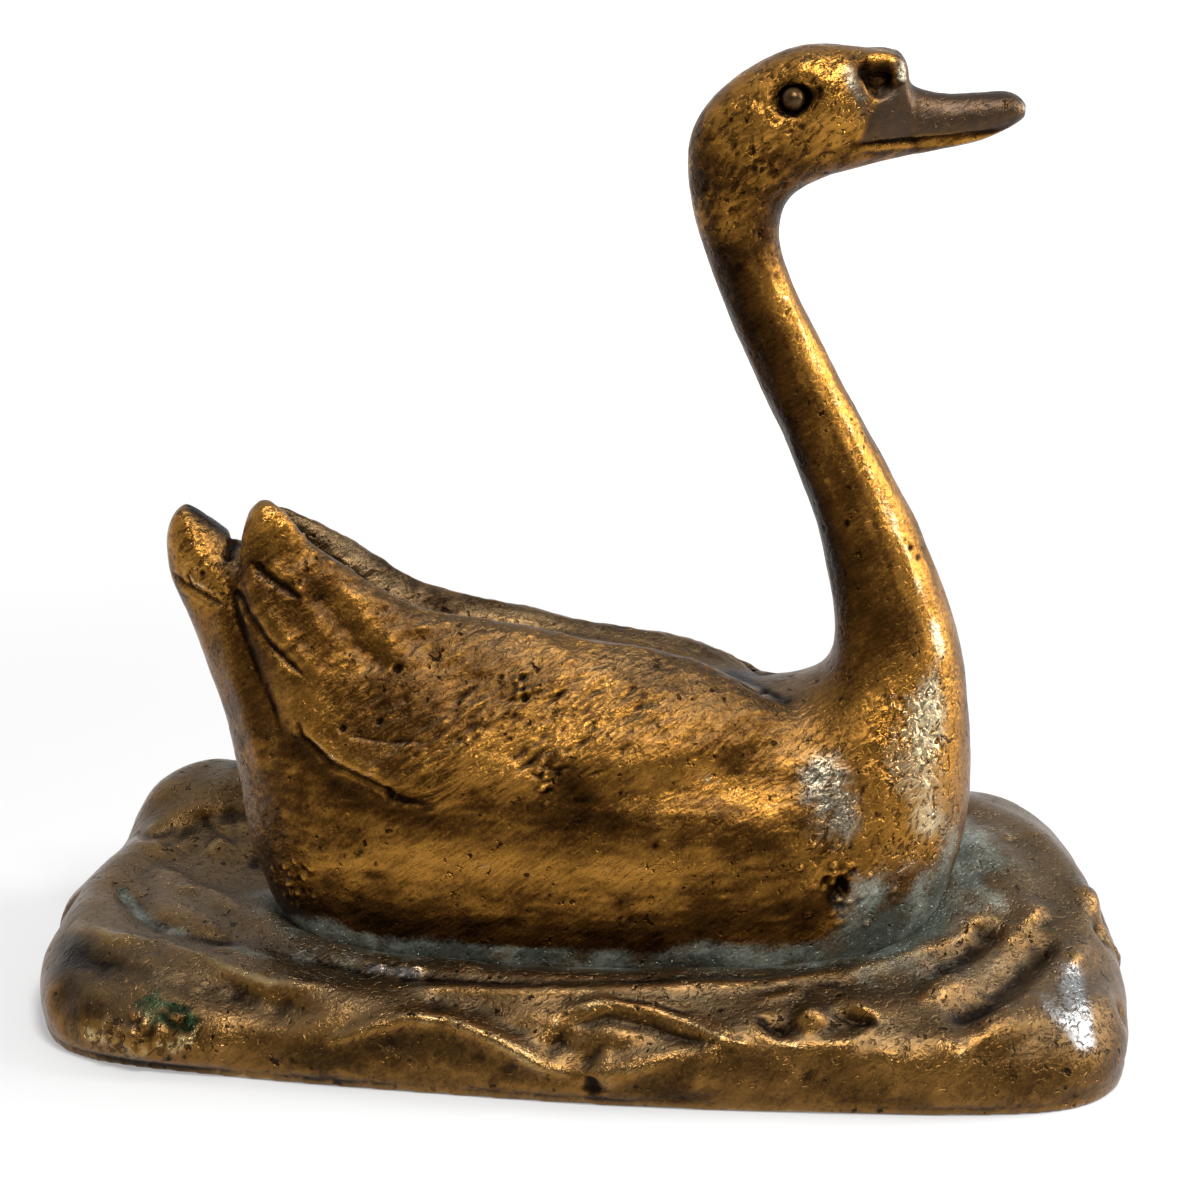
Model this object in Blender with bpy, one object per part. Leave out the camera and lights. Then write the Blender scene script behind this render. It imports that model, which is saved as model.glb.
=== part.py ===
# Bronze swan swimming on a water base, cast in sections and joined with a sleeve, pins and bolts.
# Metres, +Z up. The swan faces +X and its right side looks to -Y. The origin is under the middle
# of the base, on the surface that the base stands on. The pieces are modelled in the swan's own frame,
# whose origin is under the middle of its body, and hang on an empty that puts the swan on the base.
import math

import bmesh
import bpy
from mathutils import Vector
from mathutils.bvhtree import BVHTree

for old in list(bpy.data.objects):
    bpy.data.objects.remove(old)

# Fits
FIT_GAP = 0.0003            # clearance between neighbouring pieces
FLUSH_DEPTH = 0.0003        # how far a pin or plug end stays below the surface that it is filed to
PIN_TAIL = 0.0012           # how far a pin or plug reaches past the inner wall

# Water base
BASE_LENGTH = 0.2375
BASE_DEPTH = 0.118
SWAN_FORWARD = 0.0022       # the swan sits this far ahead of the middle of the base
SWAN_RIGHT = 0.003          # and this far to its right side
HOLLOW_HEIGHT = 0.012       # height of the open hollow under the base
BASE_PLATE = 0.006          # metal between that hollow and the seat of the swan
WATER_DRAFT = 0.0045        # water surface above the seat, beside the body
RIM_DROP = 0.003            # how far the water falls from the body to the rim
RIM_ROUND = 0.014           # width of the rounded rim
RIM_TUCK = 0.0015           # how far the foot of the rim is set in
RIM_WALL = 0.012            # width of the standing rim around the hollow
RIM_STEEP = 0.30            # share of the water's height that the rim rises straight up
RIPPLE_LENGTH = 0.018
RIPPLE_HEIGHT = 0.0013

# Castings of the swan
BODY_WALL = 0.0045
SLEEVE_LENGTH = 0.009       # lip of the front casting that slides into the body
SLEEVE_WALL = 0.003
MOUTH_DEPTH = 0.0008
MOUTH_TURN = 0.36           # where the mouth lies, as a share of the turn around a section
LORE_RADIUS = 0.0042        # hollow between the forehead knob and the bill
LORE_DEPTH = 0.0012
EYE_RADIUS = 0.0027
EYE_PROUD = 0.0015          # how far the eye bead stands out of its socket
EYE_RIM = 0.0013            # width of the dished rim around the eye bead

# Pins, plugs and fixings
SEAM_PIN_RADIUS = 0.0015
WING_RIVET_RADIUS = 0.0017
PLUG_RADIUS = 0.0026
LUG_RADIUS = 0.0065
LUG_HEIGHT = 0.016
LUG_WEB = 0.009             # width of the web that joins a lug to the wall
STUD_RADIUS = 0.0025
STUD_GRIP = 0.011           # length of stud held in a lug
STUD_END = 0.0015           # length of stud showing under its nut
WASHER_RADIUS = 0.0058
WASHER_THICKNESS = 0.0012
NUT_WIDTH = 0.0085          # across the flats
NUT_HEIGHT = 0.004

SEAT_HEIGHT = HOLLOW_HEIGHT + BASE_PLATE
FOOT_HEIGHT = SEAT_HEIGHT + FIT_GAP

# Sections of the swan from tail tip to bill tip, each a flat ring across the mid plane:
# back x, back height, belly x, belly height, half width, and fullness (1 is an ellipse, less is boxier).
# Heights are above the seat.
TAIL_SECTIONS = [
    (-0.0862, 0.0938, -0.0895, 0.0910, 0.0030, 0.9),
    (-0.0825, 0.0913, -0.0911, 0.0850, 0.0060, 0.9),
    (-0.0780, 0.0880, -0.0901, 0.0765, 0.0085, 0.9),
    (-0.0735, 0.0845, -0.0862, 0.0690, 0.0108, 0.9),
    (-0.0685, 0.0810, -0.0822, 0.0580, 0.0135, 0.9),
]
BODY_SECTIONS = [
    (-0.0620, 0.0775, -0.0780, 0.0450, 0.0170, 0.9),
    (-0.0540, 0.0740, -0.0752, 0.0270, 0.0210, 0.9),
    (-0.0440, 0.0705, -0.0695, 0.0045, 0.0255, 0.9),
    (-0.0310, 0.0675, -0.0500, -0.0220, 0.0290, 0.9),
    (-0.0140, 0.0650, -0.0200, -0.0260, 0.0315, 0.9),
    (0.0050, 0.0630, 0.0080, -0.0260, 0.0325, 0.9),
    (0.0220, 0.0595, 0.0320, -0.0260, 0.0320, 0.9),
    (0.0360, 0.0570, 0.0480, -0.0220, 0.0305, 0.9),
]
BREAST_SECTIONS = [
    (0.0462, 0.0590, 0.0620, -0.0140, 0.0280, 0.9),
    (0.0493, 0.0612, 0.0738, 0.0010, 0.0245, 0.9),
    (0.0507, 0.0639, 0.0802, 0.0228, 0.0205, 0.9),
    (0.0513, 0.0671, 0.0815, 0.0399, 0.0170, 0.9),
    (0.0512, 0.0706, 0.0811, 0.0523, 0.0145, 0.95),
]
NECK_SECTIONS = [
    (0.0507, 0.0755, 0.0792, 0.0646, 0.0125, 1.0),
    (0.0493, 0.0834, 0.0750, 0.0773, 0.0110, 1.0),
    (0.0465, 0.0936, 0.0692, 0.0908, 0.0100, 1.0),
    (0.0424, 0.1041, 0.0624, 0.1040, 0.0092, 1.0),
    (0.0372, 0.1158, 0.0554, 0.1174, 0.0086, 1.0),
    (0.0316, 0.1287, 0.0483, 0.1306, 0.0080, 1.0),
    (0.0268, 0.1401, 0.0425, 0.1418, 0.0078, 1.0),
    (0.0234, 0.1503, 0.0395, 0.1511, 0.0078, 1.0),
]
HEAD_SECTIONS = [
    (0.0210, 0.1575, 0.0394, 0.1575, 0.0080, 1.0),
    (0.0196, 0.1655, 0.0414, 0.1608, 0.0086, 1.0),
    (0.0203, 0.1734, 0.0456, 0.1633, 0.0092, 0.95),
    (0.0241, 0.1806, 0.0504, 0.1654, 0.0095, 0.9),
    (0.0313, 0.1867, 0.0549, 0.1667, 0.0095, 0.9),
    (0.0413, 0.1910, 0.0589, 0.1678, 0.0091, 0.9),
    (0.0503, 0.1908, 0.0615, 0.1684, 0.0082, 0.9),
    (0.0573, 0.1903, 0.0635, 0.1688, 0.0073, 0.9),
    (0.0617, 0.1893, 0.0647, 0.1691, 0.0065, 0.9),
    (0.0638, 0.1870, 0.0657, 0.1693, 0.0060, 0.9),
]
BILL_SECTIONS = [
    (0.0646, 0.1838, 0.0669, 0.1695, 0.0056, 0.9),
    (0.0673, 0.1826, 0.0693, 0.1701, 0.0052, 0.85),
    (0.0725, 0.1818, 0.0739, 0.1710, 0.0050, 0.85),
    (0.0785, 0.1822, 0.0793, 0.1723, 0.0050, 0.85),
    (0.0835, 0.1825, 0.0836, 0.1739, 0.0048, 0.85),
    (0.0865, 0.1814, 0.0866, 0.1756, 0.0038, 0.9),
    (0.0882, 0.1796, 0.0881, 0.1770, 0.0020, 0.9),
]
SWAN_SECTIONS = (TAIL_SECTIONS + BODY_SECTIONS + BREAST_SECTIONS
                 + NECK_SECTIONS + HEAD_SECTIONS + BILL_SECTIONS)
CAVITY_START = len(TAIL_SECTIONS)
SEAM = len(TAIL_SECTIONS) + len(BODY_SECTIONS)
BREAST_END = SEAM + len(BREAST_SECTIONS)
BILL_START = len(SWAN_SECTIONS) - len(BILL_SECTIONS)
LAST_SECTION = len(SWAN_SECTIONS) - 1

# Sections of a wing from its free tip to the shoulder: upper edge x, height and side,
# lower edge x, height and side, then the swell outwards and the reach inwards.
WING_SECTIONS = [
    (-0.0690, 0.0962, 0.0065, -0.0732, 0.0895, 0.0085, 0.0024, 0.0024),
    (-0.0639, 0.0921, 0.0075, -0.0733, 0.0790, 0.0120, 0.0028, 0.0030),
    (-0.0563, 0.0871, 0.0085, -0.0700, 0.0700, 0.0160, 0.0034, 0.0050),
    (-0.0475, 0.0811, 0.0090, -0.0645, 0.0605, 0.0200, 0.0038, 0.0080),
    (-0.0385, 0.0756, 0.0090, -0.0580, 0.0470, 0.0245, 0.0042, 0.0100),
    (-0.0269, 0.0728, 0.0085, -0.0420, 0.0395, 0.0290, 0.0044, 0.0110),
    (-0.0133, 0.0708, 0.0080, -0.0210, 0.0400, 0.0292, 0.0044, 0.0110),
    (0.0013, 0.0675, 0.0075, 0.0010, 0.0415, 0.0288, 0.0044, 0.0110),
    (0.0131, 0.0660, 0.0075, 0.0180, 0.0430, 0.0270, 0.0044, 0.0110),
    (0.0247, 0.0632, 0.0080, 0.0310, 0.0455, 0.0230, 0.0040, 0.0100),
    (0.0343, 0.0592, 0.0095, 0.0390, 0.0490, 0.0192, 0.0030, 0.0080),
    (0.0402, 0.0563, 0.0110, 0.0430, 0.0525, 0.0150, 0.0016, 0.0040),
]
WING_FULLNESS = 0.8         # 1 makes a wing's section an ellipse, less makes it boxier
LEFT_WING_DROP = 0.003      # the left wing lies this much lower at its front than the right one
LEFT_TIP_DROP = 0.004       # and its tip this much lower

# Outline of the base seen from above, from its middle; its length and depth are set above.
BASE_OUTLINE = [
    (0.1185, -0.030), (0.1185, -0.014), (0.117, 0.004), (0.114, 0.022), (0.106, 0.042), (0.089, 0.054),
    (0.050, 0.058), (0.010, 0.059), (-0.035, 0.058), (-0.075, 0.059), (-0.103, 0.056), (-0.112, 0.047),
    (-0.111, 0.034), (-0.117, 0.016), (-0.119, -0.006), (-0.116, -0.028), (-0.104, -0.043),
    (-0.072, -0.050), (-0.030, -0.055), (0.012, -0.0585), (0.045, -0.059), (0.082, -0.058),
    (0.104, -0.054), (0.115, -0.044),
]
# Swells of the water: middle x and y, reach in x and y, height
WATER_SWELLS = [
    (0.082, 0.008, 0.028, 0.024, 0.0100),
    (0.084, 0.042, 0.036, 0.024, 0.0140),
    (-0.088, 0.048, 0.028, 0.022, 0.0180),
    (0.000, 0.050, 0.060, 0.016, 0.0050),
    (-0.092, -0.012, 0.026, 0.022, 0.0025),
    (-0.108, 0.014, 0.016, 0.022, 0.0040),
    (0.110, 0.012, 0.018, 0.026, 0.0045),
]
# Ellipse that the body cuts from the water: middle x, half length, half width
WATERLINE_MIDDLE = 0.008
WATERLINE_LENGTH = 0.073
WATERLINE_WIDTH = 0.0305

EYE_PLACE = (0.0412, 0.1813)            # x and height above the seat
LORE_PLACE = (0.0590, 0.1850)
SEAM_PIN_HEIGHTS = {"upper": 0.0400, "lower": 0.0170}
WING_RIVETS = {"rear": (-0.0330, 0.0540), "front": (0.0180, 0.0490)}
FLANK_PLUG_PLACE = (0.0300, 0.0220)
RUMP_PLUG_HEIGHT = 0.0330
BASE_PLUGS = {"left": (-0.0400, -0.0370), "right": (0.0480, -0.0400)}
# Lugs cast inside the swan for the studs: x, y and the way to the wall that carries each
LUGS = {
    "rear": ((-0.0440, 0.0), (-1.0, 0.0)),
    "right": ((0.0, -0.0180), (0.0, -1.0)),
    "left": ((0.0, 0.0180), (0.0, 1.0)),
    "front": ((0.0560, 0.0), (1.0, 0.0)),
}
FRONT_LUGS = ["front"]

# Fineness of the meshes
SWAN_RING_POINTS = 22
CAVITY_RING_POINTS = 16
RINGS_PER_SECTION = 2
CAVITY_RINGS_PER_SECTION = 1
WING_RING_POINTS = 18
WING_RINGS_PER_SECTION = 2
OUTLINE_POINTS = 64
RIM_RINGS = 6
WATER_RINGS = 7
WATER_RING_STEP = 0.0036
PIN_SIDES = 12
STUD_SIDES = 20
FAR = 0.2                               # longer than any piece, for cutters and rays


def make_material(name, colour, roughness):
    material = bpy.data.materials.new(name)
    material.use_nodes = True
    shader = material.node_tree.nodes["Principled BSDF"]
    shader.inputs["Base Color"].default_value = (*colour, 1.0)
    shader.inputs["Roughness"].default_value = roughness
    shader.inputs["Metallic"].default_value = 1.0
    return material


BRONZE = make_material("cast_bronze", (0.36, 0.19, 0.055), 0.38)
BEAD_BRONZE = make_material("bead_bronze", (0.15, 0.075, 0.030), 0.22)
PIN_BRONZE = make_material("pin_bronze", (0.45, 0.27, 0.090), 0.35)
FIXING_BRASS = make_material("fixing_brass", (0.55, 0.38, 0.130), 0.30)


def new_object(name, mesh_builder, material=None):
    """Object from a mesh in the making, in flat triangles so that every cut through it is exact."""
    bmesh.ops.recalc_face_normals(mesh_builder, faces=mesh_builder.faces)
    bmesh.ops.triangulate(mesh_builder, faces=mesh_builder.faces)
    mesh = bpy.data.meshes.new(name)
    mesh_builder.to_mesh(mesh)
    mesh_builder.free()
    piece = bpy.data.objects.new(name, mesh)
    bpy.context.collection.objects.link(piece)
    if material:
        mesh.materials.append(material)
    return piece


def boolean(piece, other, operation):
    """Cut or join the other object into the piece for good, and remove the other object."""
    modifier = piece.modifiers.new(operation.lower(), "BOOLEAN")
    modifier.operation = operation
    modifier.solver = "EXACT"
    modifier.object = other
    evaluated = piece.evaluated_get(bpy.context.evaluated_depsgraph_get())
    result = bmesh.new()
    result.from_mesh(evaluated.data)
    piece.modifiers.remove(modifier)
    bmesh.ops.triangulate(result, faces=result.faces)
    result.to_mesh(piece.data)
    result.free()
    bpy.data.objects.remove(other)


def curve_value(before, start, end, after, part):
    """Smooth curve between start and end that also looks at the values on either side."""
    slope_in = (end - before) / 2
    slope_out = (after - start) / 2
    cube = part ** 3
    square = part ** 2
    return (start * (2 * cube - 3 * square + 1) + slope_in * (cube - 2 * square + part)
            + end * (3 * square - 2 * cube) + slope_out * (cube - square))


def between_sections(sections, place):
    """Section at a place counted in sections, read from a smooth curve through all of them."""
    last = len(sections) - 1
    index = max(0, min(int(place), last - 1))
    rows = [sections[max(0, min(index + shift, last))] for shift in (-1, 0, 1, 2)]
    return [curve_value(*values, place - index) for values in zip(*rows)]


def places(start, end, rings_per_section):
    count = max(2, round((end - start) * rings_per_section))
    return [start + (end - start) * step / count for step in range(count + 1)]


def swan_ring(place, inset, points):
    """Points of one section of the swan, moved inwards by the inset."""
    back_x, back_z, belly_x, belly_z, half_width, fullness = between_sections(SWAN_SECTIONS, place)
    back = Vector((back_x, 0.0, FOOT_HEIGHT + back_z))
    belly = Vector((belly_x, 0.0, FOOT_HEIGHT + belly_z))
    middle = (back + belly) / 2
    downwards = (belly - back).normalized()
    half_depth = (belly - back).length / 2 - inset
    ring = []
    for step in range(points):
        turn = 2 * math.pi * step / points
        swing = math.sin(turn)
        side = (half_width - inset) * math.copysign(abs(swing) ** fullness, swing)
        ring.append(middle - downwards * half_depth * math.cos(turn) + Vector((0.0, side, 0.0)))
    return ring


def loft(name, rings, material=None):
    builder = bmesh.new()
    loops = [[builder.verts.new(point) for point in ring] for ring in rings]
    for first, second in zip(loops, loops[1:]):
        for index in range(len(first)):
            following = (index + 1) % len(first)
            builder.faces.new((first[index], first[following], second[following], second[index]))
    builder.faces.new(loops[0])
    builder.faces.new(loops[-1])
    return new_object(name, builder, material)


def cut_below(piece, height):
    """Cut the piece off flat at a height and close the cut."""
    builder = bmesh.new()
    builder.from_mesh(piece.data)
    geometry = builder.verts[:] + builder.edges[:] + builder.faces[:]
    cut = bmesh.ops.bisect_plane(builder, geom=geometry, plane_co=(0, 0, height), plane_no=(0, 0, 1),
                                 clear_inner=True)
    rim = [item for item in cut["geom_cut"] if isinstance(item, bmesh.types.BMEdge)]
    bmesh.ops.contextual_create(builder, geom=rim)
    bmesh.ops.recalc_face_normals(builder, faces=builder.faces)
    builder.to_mesh(piece.data)
    builder.free()


def cylinder(name, start, end, radius, sides=PIN_SIDES, material=None):
    axis = Vector(end) - Vector(start)
    builder = bmesh.new()
    turn = axis.to_track_quat("Z", "Y").to_matrix().to_4x4()
    turn.translation = (Vector(start) + Vector(end)) / 2
    bmesh.ops.create_cone(builder, cap_ends=True, segments=sides, radius1=radius, radius2=radius,
                          depth=axis.length, matrix=turn)
    return new_object(name, builder, material)


def sphere(name, centre, radius, segments=14, rings=8, material=None):
    builder = bmesh.new()
    bmesh.ops.create_uvsphere(builder, u_segments=segments, v_segments=rings, radius=radius)
    bmesh.ops.translate(builder, verts=builder.verts, vec=centre)
    return new_object(name, builder, material)


def surface_hits(piece, start, direction):
    """Every point where a straight line from outside passes through the piece's surface."""
    builder = bmesh.new()
    builder.from_mesh(piece.data)
    tree = BVHTree.FromBMesh(builder)
    builder.free()
    direction = Vector(direction)
    origin = Vector(start)
    hits = []
    while True:
        point = tree.ray_cast(origin, direction)[0]
        if point is None:
            return hits
        hits.append(point)
        origin = point + direction * FIT_GAP / 10


def drill(pieces, start, end, radius, sides=PIN_SIDES):
    for piece in pieces:
        boolean(piece, cylinder("drill", start, end, radius + FIT_GAP, sides), "DIFFERENCE")


def fit_pin(name, start, direction, outer, inner, radius, drilled):
    """Pin or plug from just under the outer piece's surface to just past the inner piece's wall."""
    direction = Vector(direction)
    head = surface_hits(outer, start, direction)[0] + direction * FLUSH_DEPTH
    tail = surface_hits(inner, start, direction)[1] + direction * PIN_TAIL
    drill(drilled, start, tail + direction * FIT_GAP, radius)
    return cylinder(name, head, tail, radius, PIN_SIDES, PIN_BRONZE)


def swan_rings(start, end, rings_per_section, inset, points):
    return [swan_ring(place, inset, points) for place in places(start, end, rings_per_section)]


def swan_hull():
    """Body and breast as one solid, grown by the fit gap, for cutting their neighbours."""
    return loft("hull", swan_rings(0, BREAST_END, RINGS_PER_SECTION, -FIT_GAP, SWAN_RING_POINTS))


def sleeve_reach():
    """Length of the sleeve counted in sections of the body."""
    seam = swan_ring(SEAM, 0.0, 2)
    before = swan_ring(SEAM - 1, 0.0, 2)
    step = ((seam[0] + seam[1]) / 2 - (before[0] + before[1]) / 2).length
    return SLEEVE_LENGTH / step


def stud_lug(name):
    """Solid for one lug: a round boss with a web that runs into the wall beside it."""
    (x, y), (way_x, way_y) = LUGS[name]
    top = FOOT_HEIGHT + LUG_HEIGHT
    boss = cylinder("boss", (x, y, FOOT_HEIGHT - FAR), (x, y, top), LUG_RADIUS, STUD_SIDES)
    builder = bmesh.new()
    bmesh.ops.create_cube(builder, size=1.0)
    for corner in builder.verts:
        ahead = FAR / 4 * (corner.co.x + 0.5)
        aside = LUG_WEB * corner.co.y
        corner.co = (x + way_x * ahead - way_y * aside, y + way_y * ahead + way_x * aside,
                     top - LUG_RADIUS / 4 - FAR * (0.5 - corner.co.z))
    boolean(boss, new_object("web", builder), "UNION")
    return boss


def make_body():
    body = loft("swan_body", swan_rings(0, SEAM, RINGS_PER_SECTION, 0.0, SWAN_RING_POINTS), BRONZE)
    cut_below(body, FOOT_HEIGHT)
    sleeve_end = SEAM - sleeve_reach()
    rings = swan_rings(CAVITY_START, sleeve_end, CAVITY_RINGS_PER_SECTION, BODY_WALL, CAVITY_RING_POINTS)
    rings.append(swan_ring(SEAM, BODY_WALL, CAVITY_RING_POINTS))
    rings.append([point + Vector((BODY_WALL, 0.0, 0.0)) for point in rings[-1]])
    cavity = loft("body_cavity", rings)
    for name in LUGS:
        if name not in FRONT_LUGS:
            boolean(cavity, stud_lug(name), "DIFFERENCE")
    boolean(body, cavity, "DIFFERENCE")
    return body


def carve_lore(front, side):
    """Hollow on one side of the head, under the forehead knob."""
    start = Vector((LORE_PLACE[0], side * FAR, FOOT_HEIGHT + LORE_PLACE[1]))
    skin = surface_hits(front, start, (0.0, -side, 0.0))[0]
    centre = skin + Vector((0.0, side * (LORE_RADIUS - LORE_DEPTH), 0.0))
    boolean(front, sphere("lore", centre, LORE_RADIUS), "DIFFERENCE")


def mouth_ring(place):
    """Section of the head or bill, with the line of the mouth pressed in on both sides."""
    ring = swan_ring(place, 0.0, SWAN_RING_POINTS)
    depth = MOUTH_DEPTH * max(0.0, min(1.0, place - BILL_START + 2, LAST_SECTION - 1 - place))
    lip = round(SWAN_RING_POINTS * MOUTH_TURN)
    for index, side in ((lip, -1), (SWAN_RING_POINTS - lip, 1)):
        ring[index] = ring[index] + Vector((0.0, side * depth, 0.0))
    return ring


def make_front():
    """Breast, neck, head and bill in one casting, with the sleeve that goes into the body."""
    rings = swan_rings(SEAM, BREAST_END, RINGS_PER_SECTION, 0.0, SWAN_RING_POINTS)
    rings[0] = [point + Vector((FIT_GAP, 0.0, 0.0)) for point in rings[0]]
    rings += [mouth_ring(place) for place in places(BREAST_END, LAST_SECTION, RINGS_PER_SECTION)[1:]]
    front = loft("breast_neck_and_head", rings, BRONZE)
    reach = sleeve_reach()
    sleeve_inset = BODY_WALL + FIT_GAP
    sleeve_places = (SEAM - reach, SEAM, SEAM + reach)
    sleeve = loft("sleeve", [swan_ring(place, sleeve_inset, CAVITY_RING_POINTS) for place in sleeve_places])
    boolean(front, sleeve, "UNION")
    cut_below(front, FOOT_HEIGHT)
    inner = sleeve_inset + SLEEVE_WALL
    rings = [swan_ring(SEAM - reach, inner, CAVITY_RING_POINTS)]
    rings.insert(0, [point - Vector((BODY_WALL, 0.0, 0.0)) for point in rings[0]])
    rings += swan_rings(SEAM, BREAST_END - 1, CAVITY_RINGS_PER_SECTION, inner, CAVITY_RING_POINTS)
    cavity = loft("front_cavity", rings)
    for name in FRONT_LUGS:
        boolean(cavity, stud_lug(name), "DIFFERENCE")
    boolean(front, cavity, "DIFFERENCE")
    for side in (-1, 1):
        carve_lore(front, side)
    return front


def make_eye(name, front, side):
    """Bead set in a dished socket."""
    start = Vector((EYE_PLACE[0], side * FAR, FOOT_HEIGHT + EYE_PLACE[1]))
    skin = surface_hits(front, start, (0.0, -side, 0.0))[0]
    outwards = Vector((0.0, side, 0.0))
    centre = skin - outwards * (EYE_RADIUS - EYE_PROUD)
    dish = sphere("dish", skin + outwards * EYE_RADIUS, EYE_RADIUS + EYE_RIM + FIT_GAP)
    boolean(front, dish, "DIFFERENCE")
    boolean(front, sphere("socket", centre, EYE_RADIUS + FIT_GAP), "DIFFERENCE")
    return sphere(name, centre, EYE_RADIUS, material=BEAD_BRONZE)


def wing_ring(place, side):
    """Rounded leaf section from the upper to the lower edge of a wing."""
    values = between_sections(WING_SECTIONS, place)
    along = place / (len(WING_SECTIONS) - 1)
    drop = LEFT_WING_DROP * along + LEFT_TIP_DROP * (1 - along) ** 12 if side > 0 else 0.0
    upper = Vector((values[0], side * values[2], FOOT_HEIGHT + values[1] - drop))
    lower = Vector((values[3], side * values[5], FOOT_HEIGHT + values[4] - drop))
    swell, reach = values[6], values[7]
    chord = lower - upper
    outwards = Vector((0.0, side, 0.0))
    outwards = (outwards - chord * outwards.dot(chord) / chord.length_squared).normalized()
    ring = []
    for step in range(WING_RING_POINTS):
        turn = 2 * math.pi * step / WING_RING_POINTS
        swing = math.sin(turn)
        lift = swell if swing > 0 else reach
        lift *= math.copysign(abs(swing) ** WING_FULLNESS, swing)
        ring.append(upper + chord * (1 - math.cos(turn)) / 2 + outwards * lift)
    return ring


def make_wing(name, side):
    last = len(WING_SECTIONS) - 1
    rings = [wing_ring(place, side) for place in places(0, last, WING_RINGS_PER_SECTION)]
    wing = loft(name, rings, BRONZE)
    boolean(wing, swan_hull(), "DIFFERENCE")
    return wing


def outline_point(place):
    """Point of the base's outline at a place counted in its points, on a smooth closed curve."""
    count = len(BASE_OUTLINE)
    index = int(place) % count
    rows = [BASE_OUTLINE[(index + shift) % count] for shift in (-1, 0, 1, 2)]
    return [curve_value(*values, place - int(place)) for values in zip(*rows)]


def base_outline():
    """The whole outline, fitted to the length and depth of the base."""
    count = len(BASE_OUTLINE)
    points = [outline_point(count * step / OUTLINE_POINTS) for step in range(OUTLINE_POINTS)]
    fitted = []
    for axis, size in ((0, BASE_LENGTH), (1, BASE_DEPTH)):
        values = [point[axis] for point in points]
        low, high = min(values), max(values)
        fitted.append([((value - low) / (high - low) - 0.5) * size for value in values])
    return list(zip(*fitted))


def inset_outline(outline, inset):
    """Outline drawn in by the inset at its sides and its ends, and placed under the swan."""
    length_share = 1 - 2 * inset / BASE_LENGTH
    depth_share = 1 - 2 * inset / BASE_DEPTH
    return [(x * length_share - SWAN_FORWARD, y * depth_share + SWAN_RIGHT) for x, y in outline]


def water_height(x, y):
    """Height of the water surface: level, swells, and ripples that run around the body."""
    across = math.hypot((x - WATERLINE_MIDDLE) / WATERLINE_LENGTH, y / WATERLINE_WIDTH)
    away = max(0.0, (1 - 1 / max(across, 1.0)) * math.hypot(x - WATERLINE_MIDDLE, y))
    height = SEAT_HEIGHT + WATER_DRAFT - RIM_DROP * min(1.0, away / (2 * RIM_ROUND))
    height -= RIPPLE_HEIGHT * math.cos(2 * math.pi * away / RIPPLE_LENGTH)
    for middle_x, middle_y, reach_x, reach_y, rise in WATER_SWELLS:
        height += rise * math.exp(-((x - middle_x) / reach_x) ** 2 - ((y - middle_y) / reach_y) ** 2)
    return height


def make_base():
    outline = base_outline()
    rings = [[Vector((x, y, 0.0)) for x, y in inset_outline(outline, RIM_TUCK)]]
    insets = [RIM_ROUND * (step / RIM_RINGS) ** 1.5 for step in range(RIM_RINGS + 1)]
    insets += [RIM_ROUND + WATER_RING_STEP * step for step in range(1, WATER_RINGS + 1)]
    for inset in insets:
        lean = 1 - min(1.0, inset / RIM_ROUND)
        share = RIM_STEEP + (1 - RIM_STEEP) * math.sqrt(1 - lean ** 2)
        ring = inset_outline(outline, inset)
        rings.append([Vector((x, y, share * water_height(x, y))) for x, y in ring])
    base = loft("water_base", rings, BRONZE)
    hollow_rings = []
    for height, inset in ((-BASE_PLATE, RIM_WALL), (HOLLOW_HEIGHT, RIM_WALL)):
        ring = inset_outline(outline, inset)[::2]
        hollow_rings.append([Vector((x, y, height)) for x, y in ring])
    boolean(base, loft("hollow", hollow_rings), "DIFFERENCE")
    pocket = swan_hull()
    cut_below(pocket, SEAT_HEIGHT)
    boolean(base, pocket, "DIFFERENCE")
    return base


def ring_piece(name, place, bottom, height, outer, sides, bore):
    """Flat piece with a round hole: a washer, or a nut when it has six sides."""
    x, y = place
    piece = cylinder(name, (x, y, bottom), (x, y, bottom + height), outer, sides, FIXING_BRASS)
    hole = cylinder("hole", (x, y, bottom - height), (x, y, bottom + 2 * height), bore, STUD_SIDES)
    boolean(piece, hole, "DIFFERENCE")
    return piece


def make_fixing(name, casting, base):
    """Stud in a lug of the casting, with its washer and nut under the base plate."""
    place = LUGS[name][0]
    washer_bottom = HOLLOW_HEIGHT - FIT_GAP - WASHER_THICKNESS
    nut_bottom = washer_bottom - FIT_GAP - NUT_HEIGHT
    top = FOOT_HEIGHT + STUD_GRIP
    bore = STUD_RADIUS + FIT_GAP
    drill([casting], (*place, SEAT_HEIGHT - BASE_PLATE), (*place, top + FIT_GAP), STUD_RADIUS, STUD_SIDES)
    drill([base], (*place, 0.0), (*place, SEAT_HEIGHT + BASE_PLATE), STUD_RADIUS, STUD_SIDES)
    cylinder(name + "_stud", (*place, nut_bottom - STUD_END), (*place, top), STUD_RADIUS, STUD_SIDES,
             FIXING_BRASS)
    ring_piece(name + "_stud_washer", place, washer_bottom, WASHER_THICKNESS, WASHER_RADIUS, STUD_SIDES, bore)
    ring_piece(name + "_stud_nut", place, nut_bottom, NUT_HEIGHT, NUT_WIDTH / math.sqrt(3), 6, bore)


def seam_x(height):
    """Where the tilted seam between body and front casting stands at a height above the seat."""
    back_x, back_z, belly_x, belly_z = SWAN_SECTIONS[SEAM][:4]
    return back_x + (belly_x - back_x) * (back_z - height) / (back_z - belly_z)


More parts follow.
